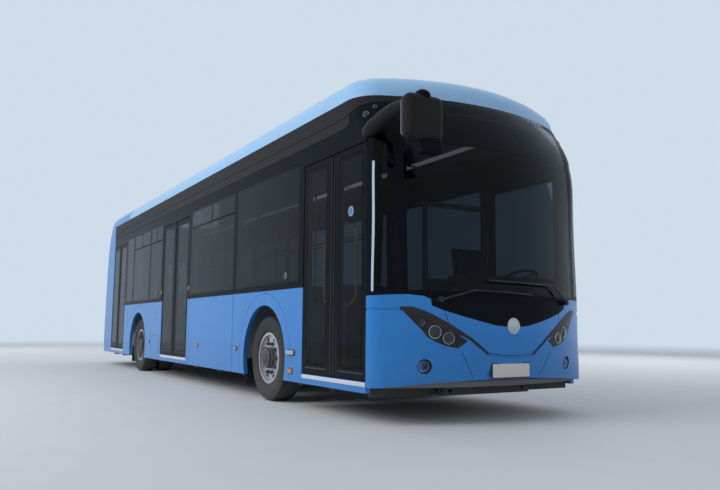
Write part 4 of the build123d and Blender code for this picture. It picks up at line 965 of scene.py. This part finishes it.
mirrorSettings = {
    # corners, bevel, its steps and material of the head, its chin and the pod on the other side
    "boxes": (((-1.333, -6.153, 2.372), (-0.957, -6.012, 2.758), 0.064, 8, 0),
              ((-1.172, -6.14, 2.262), (-0.965, -6.024, 2.4), 0.036, 5, 1),
              ((1.262, -5.383, 2.302), (1.333, -5.197, 2.388), 0.022, 5, 0)),
    "dome": ((0.074, -0.02), (0.072, 0.012), (0.06, 0.036), (0.036, 0.054), (0, 0.06)), "domeAt": (-1.14, -6.076, 2.75),
    "arm": ((-1.2, -6.06, 2.69), (-1.245, -5.92, 2.7), (-1.264, -5.74, 2.672), (-1.266, -5.56, 2.628),
            (-1.262, -5.43, 2.604), (-1.225, -5.34, 2.6)),
    "swell": (0.7, 0.85, 0.95, 1, 1, 0.85), "armR": 0.068,
    # the two mirror panes look back along the door side: y, x, z, thickness, bevel, corner, material
    "panes": ((-6.016, -1.312, -0.978, 2.408, 2.724, 0.006, 0.0015, 0.028, 2),
              (-6.028, -1.15, -0.987, 2.29, 2.372, 0.006, 0.0015, 0.028, 2)),
    "lens": ((0.022, -0.004), (0.022, 0.004), (0.018, 0.006), (0.015, 0.003), (0, 0.006)),
    "lensAt": (1.304, -5.2, 2.345),
}


def makeMirrors(s):
    bm = newMesh()
    for box in s["boxes"]:
        addBox(bm, *box)
    addTurned(bm, s["dome"], 40, 1, s["domeAt"])
    addTube(bm, s["arm"], s["armR"], sides=5, swell=s["swell"])
    for pane in s["panes"]:
        endSlab(bm, *pane)
    addTurned(bm, s["lens"], 28, 1, s["lensAt"], (0, 1, 0))
    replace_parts(makePiece("mirrorAndPod", bm, ["bandBlack", "gapBlack", "mirrorFace"]), "mirrors")


makeMirrors(mirrorSettings)

cornerSettings = {
    "strip": (-2.354, -2.335), "stripZ": (1.15, 2.31), "stripSteps": 14, "stripLift": 0.0005, "stripThick": 0.003,
    # round lamps at the front corner of the roof: start of the look, way it looks, radius
    "lamps": (((outside, at(-2.2), 2.775), (-1, 0, 0), 0.03), ((1.175, -outside, 2.845), (0, 1, 0), 0.02)),
    "lampLift": 0.002, "lampProud": 0.004, "lampDeep": 0.01,
}


def makeCorner(s):
    bm = newMesh()
    low, high = s["stripZ"]
    heights = [low + (high - low) * k / s["stripSteps"] for k in range(s["stripSteps"] + 1)]
    runs = [[onSide(-1, station, z, s["stripLift"]) for z in heights] for station in s["strip"]]
    addRibbon(bm, *runs, (-s["stripThick"], 0, 0))
    makePiece("postStrip", bm, ["lightStrip"])
    bm = newMesh()
    for (x, y, z), (aheadX, aheadY, aheadZ), radius in s["lamps"]:
        for side in (-1, 1):
            skin = onShell((side * x, y, z), (side * aheadX, aheadY, aheadZ), s["lampLift"])
            addLamp(bm, turnTo(*skin), radius, s["lampProud"], s["lampDeep"])
    makePiece("cantLamps", bm, ["brightSteel", "lampGlass", "castSteel"])


makeCorner(cornerSettings)

ceilingSettings = {
    "x": 0.62, "from": -1.9, "to": 8.05, "lights": 6, "gap": 0.06,
    # shorter at each end, half width, low, high, bevel and material of the frame and of the lens
    "parts": ((0, 0.075, 2.899, 2.9205, 0.006, 0), (0.02, 0.055, 2.89, 2.902, 0.004, 1)),
}


def makeCeilingLights(s):
    bm = newMesh()
    long = (s["to"] - s["from"]) / s["lights"]
    for side in (1, -1):
        x = side * s["x"]
        for k in range(s["lights"]):
            y = at(s["from"] + k * long)
            for short, half, low, high, bevel, material in s["parts"]:
                addBox(bm, (x - half, y + short, low), (x + half, y + long - s["gap"] - short, high), bevel,
                       material=material)
    makePiece("ceilingLights", bm, ["ceilingPanel", "cabinLight"])


makeCeilingLights(ceilingSettings)

signSettings = {"half": 0.92, "heights": (2.52, 2.8), "back": 0.045, "steps": 18, "thick": 0.03, "rimR": 0.012}


def makeSign(s):
    # it follows the windscreen from inside
    bm = newMesh()
    places = [s["half"] * (2 * k / s["steps"] - 1) for k in range(s["steps"] + 1)]
    runs = [[onNose(x, z)[0] + Vector((0, s["back"], 0)) for x in places] for z in s["heights"]]
    addRibbon(bm, *runs, (0, s["thick"], 0))
    for run in runs:
        addTube(bm, run, s["rimR"], material=1)
    makePiece("blankSign", bm, ["screenDark", "satinBlack"])


makeSign(signSettings)

liningSettings = {
    "x": 1.2245, "thick": 0.004, "high": 1.232, "panel": 1.5, "gap": 0.004, "rail": (1.228, 1.262, -0.007, 0.003),
    # first and last station and lower edge of each run of panels; over the wheels they start higher
    -1: ((0.82, 2.8, 0.373), (-0.9, 0.81, 1.105), (4.48, 5.3, 0.373), (5.31, 6.71, 1.105), (6.72, 7.04, 0.373)),
    1: ((-2.05, -0.87, 0.373), (-0.86, 0.81, 1.105), (0.82, 5.3, 0.373), (5.31, 6.71, 1.105), (6.72, 8.2, 0.373)),
}


def fillLining(bm, side, s):
    # plain panels on the inner side of the wall, with a trim rail below the windows
    for first, last, low in s[side]:
        parts = max(1, round((last - first) / s["panel"]))
        for k in range(parts):
            y0, y1 = (at(first + (last - first) * part / parts) for part in (k, k + 1))
            sideSlab(bm, side, y0 + s["gap"], y1 - s["gap"], low, s["high"], -s["thick"], 0.0015, base=s["x"])
        sideSlab(bm, side, at(first), at(last), *s["rail"], material=1, base=s["x"])


makePair("cabinLining", ["cabinPanel", "dashPlastic"], fillLining, liningSettings)
print("front corner dressed")

# ---- tail ----
tailLamps = {
    "lampX": 1.13, "lampProud": 0.014, "reflectorProud": 0.008,
    # height, radius, material
    "lamps": ((0.735, 0.052, 0), (0.87, 0.052, 1), (1.005, 0.052, 0), (1.108, 0.03, 2)),
    # sideways, height, radius, material
    "reflectors": ((0.86, 0.44, 0.034, 0), (0.985, 2.8, 0.03, 0), (1.06, 2.56, 0.026, 1)),
}


def fillTailLamps(bm, side, s):
    # round lenses, each in a dark ring (3)
    domes = [(s["lampX"], *row, s["lampProud"]) for row in s["lamps"]]
    for x, z, radius, material, proud in domes + [(*row, s["reflectorProud"]) for row in s["reflectors"]]:
        addRound(bm, turnTo(*onTail(side * x, z)), radius, 36, {
            3: ((1.13, -0.01), (1.12, proud * 0.25), (1.02, proud * 0.45), (0.98, 0)),
            material: ((1, -0.004), (1, proud * 0.5), (0.9, proud * 0.85), (0.6, proud), (0.3, proud * 0.95),
                       (0, proud))})


makePair("tailLenses", ["lensRed", "lensAmber", "clearLens", "satinBlack"], fillTailLamps, tailLamps)

rearWindow = {"half": 0.88, "low": 1.5, "high": 2.3, "radius": 0.008, "corner": 0.06, "cornerSteps": 4, "step": 0.08}


def makeRearWindowSeal(s):
    bm = newMesh()
    c = s["corner"]
    x, low, high = s["half"] - c, s["low"] + c, s["high"] - c
    outline = []
    for cornerX, z, first in ((x, high, 0), (-x, high, 90), (-x, low, 180), (x, low, 270)):
        for k in range(s["cornerSteps"] + 1):
            turn = math.radians(first + 90 * k / s["cornerSteps"])
            outline.append((cornerX + c * math.cos(turn), z + c * math.sin(turn)))
    run = [onTail(*spot)[0] for spot in divided(outline + outline[:1], s["step"])]
    addTube(bm, run, s["radius"], closed=True)
    makePiece("rearWindowSeal", bm, ["sealRubber"])


makeRearWindowSeal(rearWindow)

stopSettings = {
    # height of the middle; half width, half height, thickness, bevel, corner, material
    "lampRim": (2.395, (0.18, 0.026, 0.004, 0.002, 0.01, 1)), "lamp": (2.395, (0.17, 0.018, 0.012, 0.004, 0.008, 0)),
    "panel": (2.62, (0.46, 0.11, 0.004, 0.002, 0.02, 1)),
}


def flatOn(bm, place, half, high, thick, bevel, corner, material, sink=0.006):
    # a flat plate on the skin, its back sunk a little
    settle(bm)
    outline = [(-half, -high, -sink), (half, -high, -sink), (half, high, -sink), (-half, high, -sink)]
    addSlab(bm, outline, (0, 0, thick + sink), bevel, corner, material)
    moveNew(bm, place)


def makeStopAndPanel(s):
    bm = newMesh()
    for z, plate in s.values():
        flatOn(bm, turnTo(*onTail(0, z)), *plate)
    makePiece("rearStopAndPanel", bm, ["lensRed", "screenDark"])


makeStopAndPanel(stopSettings)

hatchSettings = {
    "z": 0.628, "locks": (-0.8, 0.8), "handles": (-0.66, 0.66), "half": 0.075, "barOut": 0.018, "barR": 0.006,
    "lock": ((0.02, -0.004), (0.02, 0.0025), (0.015, 0.004), (0.006, 0.004), (0.005, 0.002), (0, 0.002)),
    "plate": (0.095, 0.03, 0.003, 0.001, 0.014, 1),
}


def makeHatchFittings(s):
    bm = newMesh()
    for x in s["locks"]:
        addRound(bm, turnTo(*onTail(x, s["z"])), 1, 24, {0: s["lock"]})
    wide, out = s["half"], s["barOut"]
    for x in s["handles"]:
        place = turnTo(*onTail(x, s["z"]))
        flatOn(bm, place, *s["plate"])
        addTube(bm, [(-wide, 0, 0), (-wide, 0, out), (wide, 0, out), (wide, 0, 0)], s["barR"], sides=3)
        moveNew(bm, place)
    makePiece("hatchFittings", bm, ["satinBlack", "gapBlack"], "rear_hatch")


makeHatchFittings(hatchSettings)
print("tail dressed")

# ---- roof units ----
unitSettings = {
    # station of the middle, length, half width, top, cross seams
    "units": ((0.5, 2, 0.85, 3.18, 2), (2.9, 2, 0.85, 3.18, 2), (5.4, 2.2, 0.875, 3.21, 0)),
    "edge": 0.075, "seamR": 0.0035, "latches": 4, "slats": 6, "slatEnd": 0.3, "slatLow": 3.012, "slatStep": 0.011,
    # how far in and out from the side, half length (latch), low and high, bevel
    "latch": (0.006, 0.01, 0.035, 3.085, 3.135, 0.004), "slat": (0.004, 0.006, 0.005, 0.001),
}


def makeUnitTrim(s):
    bm = newMesh()
    for middle, long, half, top, seams in s["units"]:
        y0, y1 = at(middle - long / 2), at(middle + long / 2)
        x, first, last = half - s["edge"], y0 + s["edge"], y1 - s["edge"]
        addTube(bm, [(-x, first, top), (x, first, top), (x, last, top), (-x, last, top)], s["seamR"], True, 1)
        for k in range(seams):
            y = y0 + long * (k + 1) / (seams + 1)
            addTube(bm, [(-x, y, top), (x, y, top)], s["seamR"], sides=1)
        for x in (half, -half):
            deep, out, reach, low, high, bevel = s["latch"]
            for k in range(s["latches"]):
                y = y0 + long * (k + 0.5) / s["latches"]
                addBox(bm, (x - deep, y - reach, low), (x + out, y + reach, high), bevel, material=1)
            deep, out, high, bevel = s["slat"]
            for k in range(s["slats"]):
                z = s["slatLow"] + s["slatStep"] * k
                addBox(bm, (x - deep, y0 + s["slatEnd"], z), (x + out, y1 - s["slatEnd"], z + high), bevel, material=2)
    makePiece("roofUnitTrim", bm, ["sealRubber", "castSteel", "chassisBlack"])


makeUnitTrim(unitSettings)

roofHatches = {
    "stations": (-1.45, 7.45),
    # corners from the middle of the hatch, bevel, its steps and material: frame, lid and two hinges
    "parts": (((-0.42, -0.36, 2.972), (0.42, 0.36, 2.992), 0.004, 2, 1),
              ((-0.4, -0.34, 2.988), (0.4, 0.34, 3.026), 0.014, 3, 0),
              ((-0.295, 0.335, 2.99), (-0.205, 0.385, 3.006), 0.004, 2, 2),
              ((0.205, 0.335, 2.99), (0.295, 0.385, 3.006), 0.004, 2, 2)),
    "seams": (-0.8, 6.7, 8.2), "seamHalf": 0.93, "seamZ": 2.98, "seamR": 0.003,
}


def makeRoofHatches(s):
    # two escape hatches and the cross seams of the roof's skin
    bm = newMesh()
    for y in map(at, s["stations"]):
        for (x0, y0, z0), (x1, y1, z1), *rest in s["parts"]:
            addBox(bm, (x0, y + y0, z0), (x1, y + y1, z1), *rest)
    for y in map(at, s["seams"]):
        addTube(bm, [(x, y, s["seamZ"]) for x in (-s["seamHalf"], s["seamHalf"])], s["seamR"], sides=1, material=1)
    makePiece("roofHatches", bm, ["unitWhite", "sealRubber", "castSteel"])


makeRoofHatches(roofHatches)

fanSettings = {
    "stations": (4.8, 5.4, 6), "top": 3.21, "wire": 0.0035, "rings": (0.204, 0.168, 0.132, 0.096, 0.06),
    "ringSteps": 40, "spokes": 6, "spoke": 0.21, "floor": 3.15, "blades": 7, "bladeUp": 0.022, "bladeTilt": 24,
    "blade": ((0.055, -0.034, -0.0015), (0.19, 0.034, 0.0015), 0.001, 1, 1),
    "rim": ((0.216, -0.003), (0.224, 0.005), (0.206, 0.008), (0.203, -0.004)),
    "cap": ((0.062, 0.002), (0.06, 0.034), (0.05, 0.042), (0, 0.044)),
}


def makeFans(s):
    bm = newMesh()
    for y in map(at, s["stations"]):
        def around(radius, share):
            return radius * math.cos(math.tau * share), y + radius * math.sin(math.tau * share), s["top"]
        for radius in s["rings"]:
            addTube(bm, [around(radius, k / s["ringSteps"]) for k in range(s["ringSteps"])], s["wire"], True, 1)
        addTurned(bm, s["rim"], 48, 0, (0, y, s["top"]), closed=True)
        for k in range(s["spokes"]):
            addTube(bm, [around(0, 0), around(s["spoke"], k / s["spokes"])], s["wire"], sides=1)
        addTurned(bm, s["cap"], 32, 1, (0, y, s["floor"]))
        for k in range(s["blades"]):
            settle(bm)
            addBox(bm, *s["blade"])
            spin = Matrix.Rotation(math.tau * k / s["blades"], 4, "Z")
            tilt = Matrix.Rotation(math.radians(s["bladeTilt"]), 4, "X")
            moveNew(bm, Matrix.Translation((0, y, s["floor"] + s["bladeUp"])) @ spin @ tilt)
    makePiece("roofFans", bm, ["satinBlack", "chassisBlack"])


makeFans(fanSettings)
print("roof dressed")

# ---- driver's seat ----
seatSettings = {
    # bellows of the suspension: folds, lowest, step and height of a fold, corners, every second one set in
    "folds": 6, "foldLow": 0.602, "foldStep": 0.038, "foldHigh": 0.04, "foldIn": 0.012,
    "foldX": (0.585, 0.935), "foldY": (-4.9, -4.53),
    # corners, bevel, its steps and material of the pan's two parts
    "pan": (((0.56, -4.93, 0.83), (0.96, -4.5, 0.862), 0.008, 2, 1),
            ((0.522, -4.963, 0.861), (0.998, -4.47, 0.893), 0.014, 3, 1)),
    # outlines (y, z) of the back shell and of the backrest, each with its first x and its width
    "shell": ((-4.468, 0.88), (-4.436, 0.88), (-4.31, 1.742), (-4.345, 1.742)), "shellX": (0.535, 0.45),
    "back": ((-4.535, 0.992), (-4.462, 0.992), (-4.35, 1.712), (-4.418, 1.712)), "backX": (0.545, 0.43),
    "levers": (-4.8, -4.7), "leverX": (0.99, 1), "leverR": 0.008,
    "cushion": ((0.532, -4.955, 0.892), (0.988, -4.535, 0.972), 0.03, 4), "backBevel": 0.024,
    # the pads are blown up as cloth: size of their mesh, pressure, frames, furthest move, filling
    "voxel": 0.0065, "pressure": 4, "frames": 20, "cap": 0.012, "fill": 0.8,
}


def swellPad(name, bm, s):
    # a pad blown up as cloth from a slightly smaller form
    bmesh.ops.recalc_face_normals(bm, faces=bm.faces)
    dropMarks(bm)
    rough = bpy.data.meshes.new(name + "Rough")
    bm.to_mesh(rough)
    bm.free()
    holder = addObject(name + "Rough", rough)
    remesh = holder.modifiers.new("remesh", "REMESH")
    remesh.mode = "VOXEL"
    remesh.voxel_size = s["voxel"]
    graph = bpy.context.evaluated_depsgraph_get()
    mesh = bpy.data.meshes.new_from_object(holder.evaluated_get(graph))
    holder.modifiers.clear()
    holder.data = mesh
    cloth = holder.modifiers.new("cloth", "CLOTH")
    cloth.settings.use_pressure = True
    cloth.settings.uniform_pressure_force = s["pressure"]
    cloth.settings.effector_weights.gravity = 0
    cloth.point_cache.frame_end = s["frames"]
    for step in range(1, s["frames"] + 1):
        bpy.context.scene.frame_set(step)
    graph = bpy.context.evaluated_depsgraph_get()
    blown = bpy.data.meshes.new_from_object(holder.evaluated_get(graph))
    for old, new in zip(mesh.vertices, blown.vertices):
        move = new.co - old.co
        if move.length > s["cap"]:
            move = move.normalized() * s["cap"]
        old.co = old.co + move
    bpy.data.meshes.remove(blown)
    bpy.context.scene.frame_set(1)
    mesh.name = name
    mesh.materials.clear()
    mesh.materials.append(finishes["seatCloth"])
    mesh.shade_smooth()
    piece = addObject(name, mesh)
    bpy.data.objects.remove(holder)
    bpy.data.meshes.remove(rough)
    smooth = piece.modifiers.new("smooth", "SUBSURF")
    smooth.levels = 1
    smooth.render_levels = 1
    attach(piece, "bus_body")


def makeDriverSeat(s):
    bm = newMesh()
    (x0, x1), (y0, y1) = s["foldX"], s["foldY"]
    for k in range(s["folds"]):
        z = s["foldLow"] + s["foldStep"] * k
        inset = s["foldIn"] if k % 2 else 0
        addBox(bm, (x0 + inset, y0 + inset, z), (x1 - inset, y1 - inset, z + s["foldHigh"]), 0.01)
    for box in s["pan"]:
        addBox(bm, *box)
    shellX, shellWide = s["shellX"]
    addSlab(bm, [(shellX, y, z) for y, z in s["shell"]], (shellWide, 0, 0), 0.01, 0, 1, 3)
    for y in s["levers"]:
        addTube(bm, [(s["leverX"][0], y, 0.85), (s["leverX"][1], y, 0.848)], s["leverR"], sides=3, material=1)
    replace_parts(makePiece("driverSeatFrame", bm, ["sealRubber", "dashPlastic"]), "driver_seat")
    bm = newMesh()
    addBox(bm, *s["cushion"])
    swellPad("driverCushion", bm, s)
    bm = newMesh()
    backX, backWide = s["backX"]
    addSlab(bm, [(backX, y, z) for y, z in s["back"]], (backWide, 0, 0))
    bevelOff(bm, [edge for edge in bm.edges if edge.calc_face_angle(0) > 0.5], s["backBevel"], 4)
    swellPad("driverBackrest", bm, s)


makeDriverSeat(seatSettings)
print("driver's seat made")
